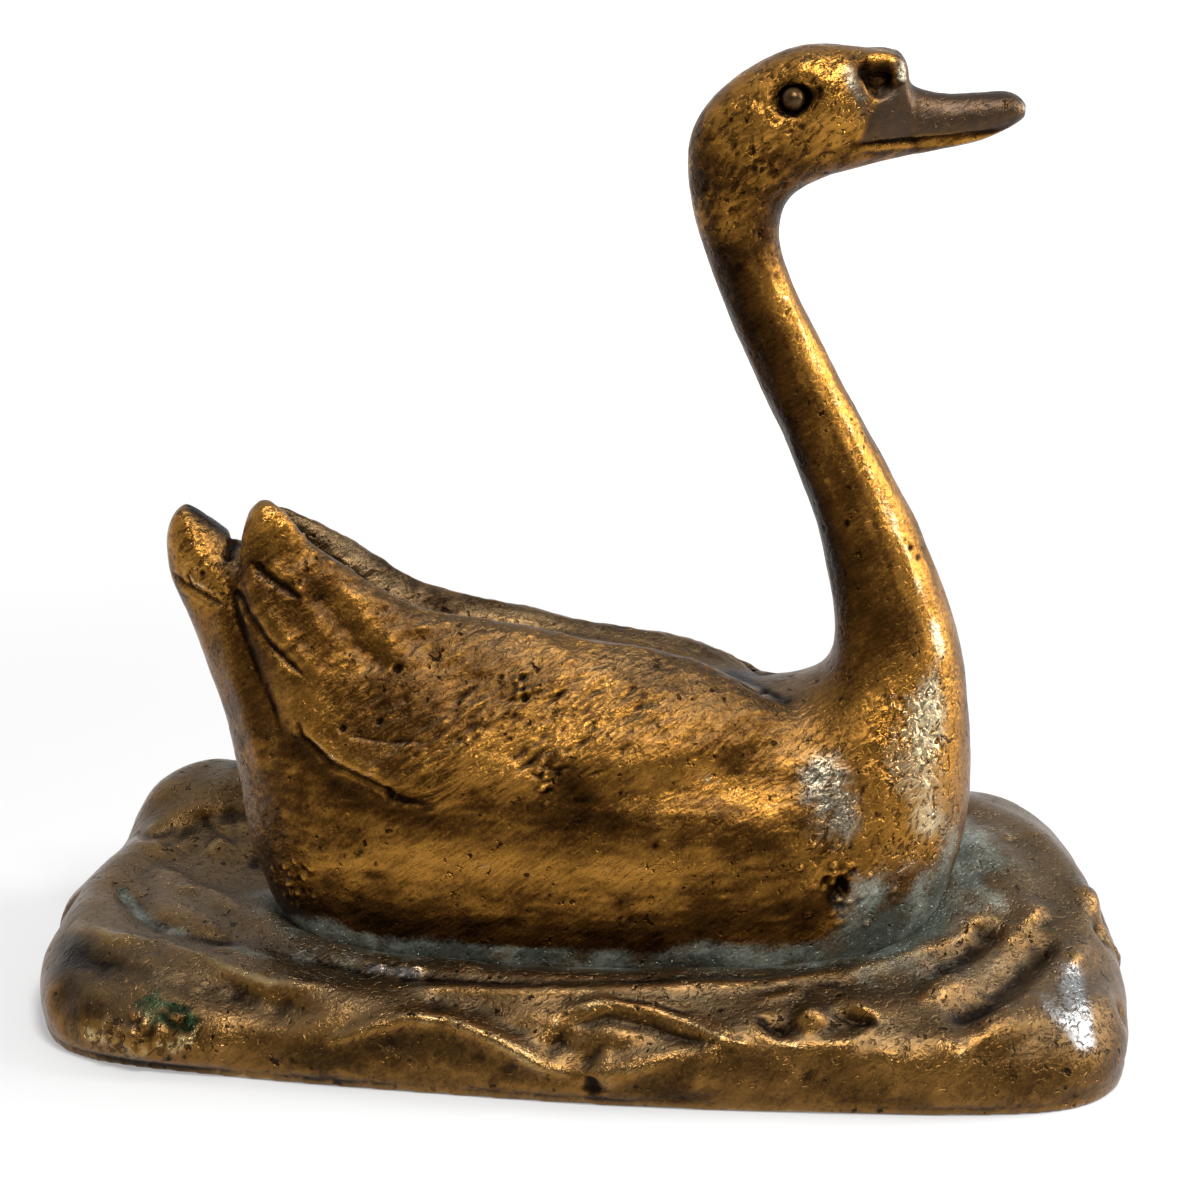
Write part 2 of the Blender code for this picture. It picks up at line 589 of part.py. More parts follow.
base = make_base()
body = make_body()
front = make_front()
for side_name, side in (("right", -1), ("left", 1)):
    inwards = (0.0, -side, 0.0)
    make_eye(side_name + "_eye", front, side)
    wing = make_wing(side_name + "_wing", side)
    for end, (x, height) in WING_RIVETS.items():
        start = (x, side * FAR, FOOT_HEIGHT + height)
        fit_pin(f"{side_name}_wing_{end}_rivet", start, inwards, wing, body, WING_RIVET_RADIUS,
                [wing, body])
    for level, height in SEAM_PIN_HEIGHTS.items():
        start = (seam_x(height) - SLEEVE_LENGTH / 2, side * FAR, FOOT_HEIGHT + height)
        fit_pin(f"{side_name}_{level}_seam_pin", start, inwards, body, front, SEAM_PIN_RADIUS,
                [body, front])
    start = (FLANK_PLUG_PLACE[0], side * FAR, FOOT_HEIGHT + FLANK_PLUG_PLACE[1])
    fit_pin(side_name + "_flank_plug", start, inwards, body, body, PLUG_RADIUS, [body])
fit_pin("rump_plug", (-FAR, 0.0, FOOT_HEIGHT + RUMP_PLUG_HEIGHT), (1, 0, 0), body, body, PLUG_RADIUS,
        [body])
for side_name, (x, y) in BASE_PLUGS.items():
    fit_pin(side_name + "_base_plug", (x, y, FAR), (0, 0, -1), base, base, PLUG_RADIUS, [base])
for lug_name in LUGS:
    make_fixing(lug_name, front if lug_name in FRONT_LUGS else body, base)
pieces = list(bpy.data.objects)
swan_place = bpy.data.objects.new("swan_place", None)
swan_place.location = (SWAN_FORWARD, -SWAN_RIGHT, 0.0)
bpy.context.collection.objects.link(swan_place)
for piece in pieces:
    piece.parent = swan_place
    piece.data.shade_smooth()
    piece.data.set_sharp_from_angle(angle=math.radians(40))
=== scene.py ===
import math
import bmesh
import bpy
import numpy as np
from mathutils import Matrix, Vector
from mathutils.bvhtree import BVHTree
from mathutils.kdtree import KDTree


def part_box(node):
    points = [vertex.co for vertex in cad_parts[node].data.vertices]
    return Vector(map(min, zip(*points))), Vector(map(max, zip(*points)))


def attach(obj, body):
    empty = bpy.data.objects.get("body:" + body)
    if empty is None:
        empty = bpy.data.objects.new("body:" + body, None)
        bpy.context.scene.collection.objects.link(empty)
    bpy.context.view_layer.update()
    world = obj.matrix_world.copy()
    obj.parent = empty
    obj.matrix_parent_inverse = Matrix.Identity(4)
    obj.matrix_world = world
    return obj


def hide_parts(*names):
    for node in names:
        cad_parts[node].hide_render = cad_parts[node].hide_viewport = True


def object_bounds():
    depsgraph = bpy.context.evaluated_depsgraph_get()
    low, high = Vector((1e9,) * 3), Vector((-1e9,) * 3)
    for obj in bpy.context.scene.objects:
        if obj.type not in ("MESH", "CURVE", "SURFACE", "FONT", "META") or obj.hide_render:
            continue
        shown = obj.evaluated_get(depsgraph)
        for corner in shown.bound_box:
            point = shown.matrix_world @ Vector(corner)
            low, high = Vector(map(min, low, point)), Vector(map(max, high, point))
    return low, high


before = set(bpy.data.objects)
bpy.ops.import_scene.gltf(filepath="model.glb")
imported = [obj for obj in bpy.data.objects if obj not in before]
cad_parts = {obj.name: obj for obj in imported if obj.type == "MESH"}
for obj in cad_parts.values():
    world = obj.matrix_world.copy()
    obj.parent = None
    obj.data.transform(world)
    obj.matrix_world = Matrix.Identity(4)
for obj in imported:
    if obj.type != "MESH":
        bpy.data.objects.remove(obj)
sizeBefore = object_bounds()
boxLow, boxHigh = (np.array(corner) for corner in sizeBefore)
mm = 0.001
chance = np.random.default_rng(17)
coarse = 1.0   # wider voxels in a quick try
print("frame loaded:", len(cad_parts), "nodes")

# View that the photo was taken from; pixels below are counted in its 1200 by 1200 frame
viewing = {
    "place": (0.04954, -0.65142, 0.290),
    "aim": (0.0042, -0.003, 0.092),
    "lens": 96.0,
    "sensor": 36.0,
    "picture": 1200,
}
viewPlace = Vector(viewing["place"])
viewAhead = (Vector(viewing["aim"]) - viewPlace).normalized()
viewRight = viewAhead.cross(Vector((0, 0, 1))).normalized()
viewUp = viewRight.cross(viewAhead)
viewFocal = viewing["lens"] / viewing["sensor"] * viewing["picture"]
midPlane = -0.003   # y of the swan's middle


def pixelRay(across, down):
    half = viewing["picture"] / 2
    return (viewAhead * viewFocal + viewRight * (across - half) - viewUp * (down - half)).normalized()


# Shared mesh tools
def evaluatedMesh(thing):
    return bpy.data.meshes.new_from_object(thing.evaluated_get(bpy.context.evaluated_depsgraph_get()))


def takeApart(shape, swell=0.0):   # points and faces of a bmesh, grown by swell
    shape.verts.index_update()
    points = np.array([vertex.co + vertex.normal * swell for vertex in shape.verts])
    faces = [[vertex.index for vertex in face.verts] for face in shape.faces]
    shape.free()
    return points, faces


def nodeMesh(name, swell=0.0):   # a copy of a CAD solid with its doubles merged
    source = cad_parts[name]
    shape = bmesh.new()
    shape.from_mesh(source.data)
    shape.transform(source.matrix_world)
    bmesh.ops.remove_doubles(shape, verts=shape.verts, dist=0.002 * mm)
    bmesh.ops.recalc_face_normals(shape, faces=shape.faces)
    shape.normal_update()
    return takeApart(shape, swell)


def joinMeshes(parts):
    allFaces = []
    start = 0
    for points, faces in parts:
        allFaces.extend([[index + start for index in face] for face in faces])
        start += len(points)
    return np.concatenate([points for points, faces in parts]), allFaces


def hullSlab(points, low, high):   # a flat block under the outline of some points
    shape = bmesh.new()
    for x, y, z in points:
        shape.verts.new((x, y, low))
        shape.verts.new((x, y, high))
    made = bmesh.ops.convex_hull(shape, input=shape.verts)
    inside = [item for item in made["geom_interior"] if isinstance(item, bmesh.types.BMVert)]
    bmesh.ops.delete(shape, geom=list(set(inside)), context="VERTS")
    return takeApart(shape)


def quadSides(quads):
    return np.concatenate([quads[:, [corner, (corner + 1) % 4]] for corner in range(4)])


def sideKeys(sides, count):   # one number for each edge, whichever way it runs
    ordered = np.sort(sides, axis=1)
    return ordered[:, 0] * count + ordered[:, 1]


def quadEdges(quads, count):
    keys = np.unique(sideKeys(quadSides(quads), count))
    return np.stack([keys // count, keys % count], axis=1)


def islands(count, pairs):   # the same label for all that pairs link together
    labels = np.arange(count)
    while True:
        first = labels[pairs[:, 0]]
        second = labels[pairs[:, 1]]
        low = np.minimum(first, second)
        fresh = labels.copy()
        np.minimum.at(fresh, first, low)
        np.minimum.at(fresh, second, low)
        for turn in range(4):
            fresh = fresh[fresh]
        if np.array_equal(fresh, labels):
            return labels
        labels = fresh


def outerIsland(points, quads):   # drops the skins of the hollows inside
    labels = islands(len(points), quadEdges(quads, len(points)))
    keep = labels == labels[np.argmax(points[:, 2])]
    renumber = np.cumsum(keep) - 1
    return points[keep], renumber[quads[keep[quads[:, 0]]]]


def voxelSkin(points, faces, size):
    mesh = bpy.data.meshes.new("blank")
    mesh.from_pydata(points.tolist(), [], faces)
    holder = bpy.data.objects.new("blank", mesh)
    bpy.context.scene.collection.objects.link(holder)
    remesh = holder.modifiers.new("remesh", "REMESH")
    remesh.mode = "VOXEL"
    remesh.voxel_size = size
    made = evaluatedMesh(holder)
    coords = np.empty(len(made.vertices) * 3)
    made.vertices.foreach_get("co", coords)
    corners = np.empty(len(made.loops), dtype=np.int32)
    made.loops.foreach_get("vertex_index", corners)
    bpy.data.objects.remove(holder)
    bpy.data.meshes.remove(mesh)
    bpy.data.meshes.remove(made)
    return outerIsland(coords.reshape(-1, 3), corners.reshape(-1, 4).astype(np.int64))


def vertexNormals(points, quads):
    slant = points[quads[:, 2]] - points[quads[:, 0]]
    crossing = np.cross(slant, points[quads[:, 3]] - points[quads[:, 1]])
    total = np.zeros_like(points)
    for axis in range(3):
        for corner in range(4):
            total[:, axis] += np.bincount(quads[:, corner], crossing[:, axis], len(points))
    return total / np.maximum(np.linalg.norm(total, axis=1, keepdims=True), 1e-12)


def spread(values, edges, rounds, share=0.6):   # each point moves towards its neighbours' mean
    flat = values.ndim == 1
    columns = values[:, None].copy() if flat else values.copy()
    count = len(columns)
    degree = np.bincount(edges.ravel(), minlength=count)
    pull = share if np.isscalar(share) else share[:, None]
    for turn in range(rounds):
        average = np.empty_like(columns)
        for axis in range(columns.shape[1]):
            column = columns[:, axis]
            total = np.bincount(edges[:, 0], column[edges[:, 1]], count)
            total += np.bincount(edges[:, 1], column[edges[:, 0]], count)
            average[:, axis] = total / np.maximum(degree, 1)
        columns += (average - columns) * pull
    return columns[:, 0] if flat else columns


def ease(values, low, high):
    share = np.clip((values - low) / (high - low), 0, 1)
    return share * share * (3 - 2 * share)


def bell(away, width):
    return np.exp(-(away / width) ** 2)


hashPrimes = (73856093, 19349663, 83492791)


def cellValue(cells, seed):   # an even random number for each cell of a grid
    mixed = seed * 40503
    for axis, prime in enumerate(hashPrimes):
        mixed = mixed ^ (cells[:, axis] * prime)
    mixed = ((mixed ^ (mixed >> 13)) * 1274126177) & 0x7FFFFFFF
    mixed = mixed ^ (mixed >> 15)
    return (mixed & 0xFFFF) / 0xFFFF


def noise(points, size, seed):
    scaled = points / size
    low = np.floor(scaled).astype(np.int64)
    part = scaled - low
    blend = part * part * (3 - 2 * part)
    total = np.zeros(len(points))
    for corner in range(8):
        step = np.array([(corner >> axis) & 1 for axis in range(3)])
        weight = np.prod(np.where(step == 1, blend, 1 - blend), axis=1)
        total += weight * cellValue(low + step, seed)
    return total * 2 - 1


def layers(points, sizes, seed):   # noise in several sizes, each with its strength
    total = np.zeros(len(points))
    for turn, (size, strength) in enumerate(sizes):
        total += strength * noise(points, size * mm, seed + turn)
    return total


def streaks(points, way, size, stretch, seed):   # noise drawn out along one way
    way = np.array(way) / np.linalg.norm(way)
    along = points @ way
    return noise(points + np.outer(along * (1 / stretch - 1), way), size, seed)


# The CAD solids, to draw on from the view and to tell the castings apart
birdNodes = ["swan_body", "breast_neck_and_head", "right_wing", "left_wing"]
birdMeshes = [nodeMesh(name) for name in birdNodes]
birdPoints, birdFaces = joinMeshes(birdMeshes)
birdOwners = np.repeat(np.arange(4), [len(faces) for points, faces in birdMeshes])
birdTree = BVHTree.FromPolygons(birdPoints.tolist(), birdFaces)
basePoints, baseFaces = nodeMesh("water_base")
baseTree = BVHTree.FromPolygons(basePoints.tolist(), baseFaces)
wholePoints, wholeFaces = joinMeshes([(birdPoints, birdFaces), (basePoints, baseFaces)])
wholeTree = BVHTree.FromPolygons(wholePoints.tolist(), wholeFaces)


def onSkin(across, down):   # the place that a pixel of the photo shows
    hit = wholeTree.ray_cast(viewPlace, pixelRay(across, down))[0]
    return None if hit is None else np.array(hit)


def pixelLine(pixels, step=7.0):
    line = []
    for start, end in zip(pixels[:-1], pixels[1:]):
        parts = max(1, int(math.hypot(end[0] - start[0], end[1] - start[1]) / step))
        for part in range(parts):
            line.append(onSkin(*(low + (high - low) * part / parts for low, high in zip(start, end))))
    line.append(onSkin(*pixels[-1]))
    return [point for point in line if point is not None]


def dab(across, down):   # a very short line, for a round mark
    spot = onSkin(across, down)
    return [] if spot is None else [spot, spot + 0.0002]


def farLine(line, jitter):   # its mirror image on the swan's far side
    shift = np.array([jitter * chance.uniform(-1, 1), 0.0, jitter * chance.uniform(-1, 1)])
    flipped = []
    for point in line:
        place = Vector((point[0] + shift[0], 2 * midPlane - point[1], point[2] + shift[2]))
        flipped.append(np.array(birdTree.find_nearest(place)[0]))
    return flipped


def bothSides(line, jitter=2 * mm):
    return line, farLine(line, jitter)


def nearLine(points, line, reach):   # points by a line, how far off and how far along
    corners = np.array(line)
    inside = (points > corners.min(axis=0) - reach) & (points < corners.max(axis=0) + reach)
    picked = np.flatnonzero(inside.all(axis=1))
    near = points[picked]
    best = np.full(len(picked), 1.0)
    along = np.zeros(len(picked))
    legs = max(1, len(line) - 1)
    for leg, (start, end) in enumerate(zip(line[:-1] or line, line[1:] or line)):
        way = end - start
        share = np.clip((near - start) @ way / max(way @ way, 1e-12), 0, 1)
        away = np.linalg.norm(near - start - share[:, None] * way, axis=1)
        closer = away < best
        best = np.where(closer, away, best)
        along = np.where(closer, (leg + share) / legs, along)
    return picked, best, along


strokeForm = {
    "runOut": 0.22,   # share of the length over which a stroke narrows, and to what
    "narrowest": 0.45,
    "fade": 0.16,     # share of the length over which it grows shallow, and to what
    "faintest": 0.05,
    "patches": 3 * mm,
    "seed": 23,
}


def carve(lift, points, line, width, depth, broken=0.35):
    if len(line) < 2:
        return
    picked, away, along = nearLine(points, line, 3 * width)
    if len(line) > 2:   # strokes run out at both ends
        toEnd = np.minimum(along, 1 - along)
        narrow = strokeForm["narrowest"]
        width = width * (narrow + (1 - narrow) * np.clip(toEnd / strokeForm["runOut"], 0, 1))
        depth = depth * np.clip(toEnd / strokeForm["fade"], strokeForm["faintest"], 1)
    uneven = noise(points[picked], strokeForm["patches"], strokeForm["seed"])
    force = np.clip(1 - broken + 1.6 * broken * uneven, 0, 1.5)
    lift[picked] += depth * force * bell(away, width)


def tint(mask, points, line, width, amount):
    if line:
        picked, away, along = nearLine(points, line, 3 * width)
        mask[picked] += amount * bell(away, width)


def paint(mask, points, marks, mirrored=False):   # marks of pixels, width in mm and amount
    for pixels, width, amount in marks:
        line = pixelLine(pixels)
        tint(mask, points, line, width * mm, amount)
        if mirrored:
            tint(mask, points, farLine(line, 2 * mm), width * mm, amount)
    return mask


def sprinklePits(lift, points, count, small, large, depth):
    places = chance.integers(0, len(points), count)
    tree = KDTree(len(points))
    for index, point in enumerate(points.tolist()):
        tree.insert(point, index)
    tree.balance()
    for place in places:
        radius = small + (large - small) * chance.random() ** 3
        dig = depth * (0.4 + 0.6 * chance.random()) * (0.5 + 0.5 * radius / large)
        for where, index, away in tree.find_range(points[place].tolist(), radius * 1.4):
            lift[index] -= dig * math.exp(-(away / radius) ** 2 * 2)


def bulges(points, normals, edges, rounds):   # how far the surface lies under its own mean
    return np.einsum("ij,ij->i", spread(points, edges, rounds) - points, normals)


def relief(points, normals, edges, scale=1.0):   # masks of the hollows and of the worn edges
    fine = bulges(points, normals, edges, round(6 / coarse))
    broad = bulges(points, normals, edges, round(45 / coarse)) / scale
    hollow = 0.6 * ease(fine, 0.03 * mm, 0.16 * mm) + 0.7 * ease(broad, 0.06 * mm, 0.8 * mm)
    worn = 0.55 * ease(-fine, 0.03 * mm, 0.14 * mm) + 0.5 * ease(-broad, 0.05 * mm, 0.7 * mm)
    return np.clip(hollow, 0, 1), np.clip(worn, 0, 1)


def plainMesh(name, points, quads, caps, masks):   # quads are shaded smooth, caps flat
    caps = np.array(caps, dtype=np.int64).reshape(-1, 3)
    loops = np.concatenate([quads.ravel(), caps.ravel()])
    totals = np.repeat([4, 3], [len(quads), len(caps)])
    mesh = bpy.data.meshes.new(name)
    mesh.vertices.add(len(points))
    mesh.vertices.foreach_set("co", points.astype(np.float32).ravel())
    mesh.loops.add(len(loops))
    mesh.loops.foreach_set("vertex_index", loops.astype(np.int32))
    mesh.polygons.add(len(totals))
    mesh.polygons.foreach_set("loop_start", (np.cumsum(totals) - totals).astype(np.int32))
    mesh.update(calc_edges=True)
    mesh.validate()
    mesh.polygons.foreach_set("use_smooth", totals == 4)
    for label, values in masks.items():
        attribute = mesh.attributes.new(label, "FLOAT", "POINT")
        attribute.data.foreach_set("value", values.astype(np.float32))
    return mesh


def addPiece(name, mesh, material):
    piece = bpy.data.objects.new(name, mesh)
    bpy.context.scene.collection.objects.link(piece)
    mesh.materials.clear()
    mesh.materials.append(material)
    return piece


# Shader tools
def addNode(tree, kind, **values):
    made = tree.nodes.new(kind)
    for key, value in values.items():
        setattr(made, key, value)
    return made


def feed(tree, socket, value):
    if isinstance(value, bpy.types.NodeSocket):
        tree.links.new(value, socket)
    else:
        socket.default_value = value


def reckon(tree, operation, *values, clamp=False):
    made = addNode(tree, "ShaderNodeMath", operation=operation, use_clamp=clamp)
    for socket, value in zip(made.inputs, values):
        feed(tree, socket, value)
    return made.outputs[0]


def addShare(tree, total, value, share):
    return reckon(tree, "MULTIPLY_ADD", value, share, total)


def blendColours(tree, share, first, second):
    made = addNode(tree, "ShaderNodeMix", data_type="RGBA", clamp_factor=True)
    for place, value in ((0, share), (6, first), (7, second)):
        feed(tree, made.inputs[place], value)
    return made.outputs[2]


def rampValue(tree, value, low, high, bottom=0.0, top=1.0):
    made = addNode(tree, "ShaderNodeMapRange", clamp=True, interpolation_type="SMOOTHSTEP")
    for socket, number in zip(made.inputs, (value, low, high, bottom, top)):
        feed(tree, socket, number)
    return made.outputs[0]


def noiseTexture(tree, vector, scale, **values):
    made = addNode(tree, "ShaderNodeTexNoise")
    tree.links.new(vector, made.inputs["Vector"])
    for label, value in dict(values, Scale=scale).items():
        feed(tree, made.inputs[label], value)
    return made.outputs[0]


def stretched(tree, vector, scale, turn):   # draws a pattern out along a slanting way
    made = addNode(tree, "ShaderNodeMapping", vector_type="TEXTURE")
    made.inputs["Scale"].default_value = scale
    made.inputs["Rotation"].default_value = (0.0, turn, 0.0)
    tree.links.new(vector, made.inputs["Vector"])
    return made.outputs[0]


socketKinds = {3: "NodeSocketVector", 4: "NodeSocketColor"}


def newGroup(name, inputs, colours, values):   # inputs with their defaults, and two kinds of output
    group = bpy.data.node_groups.new(name, "ShaderNodeTree")
    for label, value in inputs.items():
        kind = "NodeSocketFloat" if isinstance(value, float) else socketKinds[len(value)]
        group.interface.new_socket(name=label, in_out="INPUT", socket_type=kind).default_value = value
    for label in colours:
        group.interface.new_socket(name=label, in_out="OUTPUT", socket_type="NodeSocketColor")
    for label in values:
        group.interface.new_socket(name=label, in_out="OUTPUT", socket_type="NodeSocketFloat")
    return group, addNode(group, "NodeGroupInput").outputs, addNode(group, "NodeGroupOutput").inputs


def castGroup():   # casting grain, pits and chasing
    inputs = {"Vector": (0.0, 0.0, 0.0), "Grain": 1.0, "Chased": 0.3, "Hatch": 0.0}
    outputs = ["Mottle", "Speckle", "Pits", "Scratch", "Curls", "Height"]
    group, given, result = newGroup("castMarks", inputs, [], outputs)

    def pattern(scale, vector=given["Vector"], **values):
        return noiseTexture(group, vector, reckon(group, "MULTIPLY", given["Grain"], scale), **values)

    slanted = stretched(group, given["Vector"], (5.0, 1.2, 1.0), -0.62)
    curled = stretched(group, given["Vector"], (2.3, 1.0, 1.0), -0.9)
    mottle = pattern(85.0, Detail=6.0, Roughness=0.62)
    speckle = pattern(1500.0, Detail=4.0, Roughness=0.7)
    pits = rampValue(group, pattern(520.0, Detail=2.0), 0.36, 0.28)
    pits = reckon(group, "MULTIPLY", pits, rampValue(group, mottle, 0.62, 0.42))
    force = reckon(group, "MULTIPLY_ADD", given["Hatch"], 1.8, 0.35)
    lines = reckon(group, "SUBTRACT", pattern(1050.0, slanted, Detail=3.0, Distortion=0.3), 0.5)
    lines = reckon(group, "MULTIPLY", lines, force)
    curls = rampValue(group, pattern(820.0, curled, Detail=1.5, Distortion=0.7), 0.45, 0.37)
    curls = reckon(group, "MULTIPLY", curls, given["Chased"])
    height = reckon(group, "MULTIPLY", speckle, 0.3)
    for value, share in ((lines, 0.9), (pits, -1.1), (curls, -1.3)):
        height = addShare(group, height, value, share)
    for label, socket in zip(outputs, (mottle, speckle, pits, lines, curls, height)):
        group.links.new(socket, result[label])
    return group


def patinaGroup():   # from dark hollows through brown to gold and pale edges; the tone input also carries painted highlights and painted shade, and the reflection input a painted reflection in grey
    inputs = {
        "Hollow": 0.0, "Worn": 0.0, "Tone": 0.0, "Sky": 0.0, "Mottle": 0.0, "Speckle": 0.0, "Pits": 0.0,
        "Scratch": 0.0, "Curls": 0.0, "Dark": (0.018, 0.009, 0.003, 1), "Brown": (0.1, 0.05, 0.012, 1),
        "Gold": (0.4, 0.22, 0.06, 1), "Pale": (0.7, 0.5, 0.22, 1), "ReflectedGrey": (0.16, 0.12, 0.07, 1),
    }
    group, get, result = newGroup("bronzePatina", inputs, ["Color"], ["Roughness"])
    mottle = reckon(group, "SUBTRACT", get["Mottle"], 0.5)
    speckle = reckon(group, "SUBTRACT", get["Speckle"], 0.5)
    glow = 0.30
    for value, share in ((get["Worn"], 0.75), (get["Tone"], 0.75), (mottle, 0.85), (speckle, 0.75),
                         (get["Scratch"], 0.9), (get["Hollow"], -0.6)):
        glow = addShare(group, glow, value, share)
    colour = blendColours(group, rampValue(group, glow, 0.0, 0.85), get["Brown"], get["Gold"])
    colour = blendColours(group, rampValue(group, glow, 0.95, 1.8), colour, get["Pale"])
    # painted reflection: the reflection input mixes in the grey of the bright room overhead
    reflectionShare = reckon(group, "MULTIPLY", get["Sky"], reckon(group, "ADD", mottle, 0.62), clamp=True)
    colour = blendColours(group, reflectionShare, colour, get["ReflectedGrey"])
    shade = rampValue(group, glow, 0.22, -0.5)
    for label, share in (("Hollow", 0.6), ("Pits", 0.9), ("Curls", 0.7)):
        shade = reckon(group, "MAXIMUM", shade, reckon(group, "MULTIPLY", get[label], share))
    colour = blendColours(group, shade, colour, get["Dark"])
    group.links.new(colour, result["Color"])
    rough = addShare(group, rampValue(group, glow, 0.0, 1.3, 0.38, 0.16), speckle, 0.25)
    group.links.new(rough, result["Roughness"])
    return group


def crustGroup():   # powdery corrosion
    inputs = {
        "Mask": 0.0, "Mottle": 0.5, "Speckle": 0.5,
        "Teal": (0.066, 0.080, 0.066, 1), "Powder": (0.26, 0.29, 0.25, 1),
    }
    group, get, result = newGroup("verdigrisCrust", inputs, ["Color"], ["Amount"])
    amount = reckon(group, "MULTIPLY_ADD", get["Speckle"], 0.6, -0.3)
    amount = reckon(group, "ADD", amount, reckon(group, "SUBTRACT", get["Mottle"], 0.5))
    amount = rampValue(group, reckon(group, "ADD", amount, get["Mask"]), 0.18, 0.82)
    amount = reckon(group, "MULTIPLY", amount, rampValue(group, get["Mask"], 0.02, 0.4))
    powder = addShare(group, reckon(group, "MULTIPLY", get["Mottle"], 1.4), get["Speckle"], 0.45)
    colour = blendColours(group, rampValue(group, powder, 0.78, 1.2), get["Teal"], get["Powder"])
    group.links.new(colour, result["Color"])
    group.links.new(amount, result["Amount"])
    return group


castMarks = castGroup()
bronzePatina = patinaGroup()
verdigrisCrust = crustGroup()


def placeGroup(tree, group, **values):
    made = addNode(tree, "ShaderNodeGroup", node_tree=group)
    for label, value in values.items():
        feed(tree, made.inputs[label], value)
    return made.outputs


def bronzeMaterial(name, finish, masks):
    material = bpy.data.materials.new(name)
    material.use_nodes = True
    tree = material.node_tree
    shader = tree.nodes["Principled BSDF"].inputs
    place = addNode(tree, "ShaderNodeTexCoord").outputs["Object"]
    read = {}
    for label in masks:
        read[label] = addNode(tree, "ShaderNodeAttribute", attribute_name=label).outputs["Fac"]
    cast = placeGroup(tree, castMarks, Vector=place, Grain=finish["grain"],
                      Chased=read.get("chased", 0.3), Hatch=read.get("hatch", 0.0))
    grain = {label: cast[label] for label in ("Mottle", "Speckle")}
    marks = {label: cast[label] for label in ("Pits", "Scratch", "Curls")}
    state = {label.title(): read[label] for label in ("hollow", "worn", "tone", "sky") if label in read}
    patina = placeGroup(tree, bronzePatina, **grain, **marks, **state, **finish["colours"])
    colour = patina["Color"]
    rough = patina["Roughness"]
    metal = finish["metallic"]
    height = cast["Height"]
    if "bill" in read:   # browner, duller and smoother than the feathers
        horn = blendColours(tree, cast["Mottle"], *finish["bill"])
        share = reckon(tree, "MULTIPLY", read["bill"], reckon(tree, "SUBTRACT", 1.0, cast["Pits"]))
        colour = blendColours(tree, share, colour, horn)
        rough = addShare(tree, rough, share, 0.1)
        height = reckon(tree, "MULTIPLY", height, addShare(tree, 1.0, read["bill"], -0.5))
    # silvery rubbed metal, together with painted glints and painted highlights
    if "silverAndGlint" in read:
        bright = blendColours(tree, rampValue(tree, cast["Speckle"], 0.25, 0.75), *finish["silverAndGlint"])
        share = addShare(tree, read["silverAndGlint"], reckon(tree, "SUBTRACT", cast["Speckle"], 0.55), 0.35)
        share = rampValue(tree, share, 0.05, 0.85, 0.0, 0.85)
        share = reckon(tree, "MULTIPLY", share, rampValue(tree, read["silverAndGlint"], 0.03, 0.5))
        share = reckon(tree, "MULTIPLY", share, reckon(tree, "SUBTRACT", 1.0, cast["Curls"]))
        colour = blendColours(tree, share, colour, bright)
        rough = addShare(tree, rough, share, -0.14)
    if "moss" in read:
        moss = placeGroup(tree, verdigrisCrust, Mask=read["moss"], **grain, **finish["moss"])
        colour = blendColours(tree, moss["Amount"], colour, moss["Color"])
    if "verdigris" in read:
        crust = placeGroup(tree, verdigrisCrust, Mask=read["verdigris"], **grain)
        share = reckon(tree, "MULTIPLY", crust["Amount"], 0.9)
        colour = blendColours(tree, share, colour, crust["Color"])
        rough = addShare(tree, rough, share, 0.14)
        metal = addShare(tree, metal, share, -0.4)
    bump = addNode(tree, "ShaderNodeBump")
    for label, value in (("Strength", finish["bump"]), ("Distance", finish["bumpDepth"]), ("Height", height)):
        feed(tree, bump.inputs[label], value)
    for label, value in (("Base Color", colour), ("Roughness", rough), ("Metallic", metal),
                         ("Normal", bump.outputs[0])):
        feed(tree, shader[label], value)
    return material


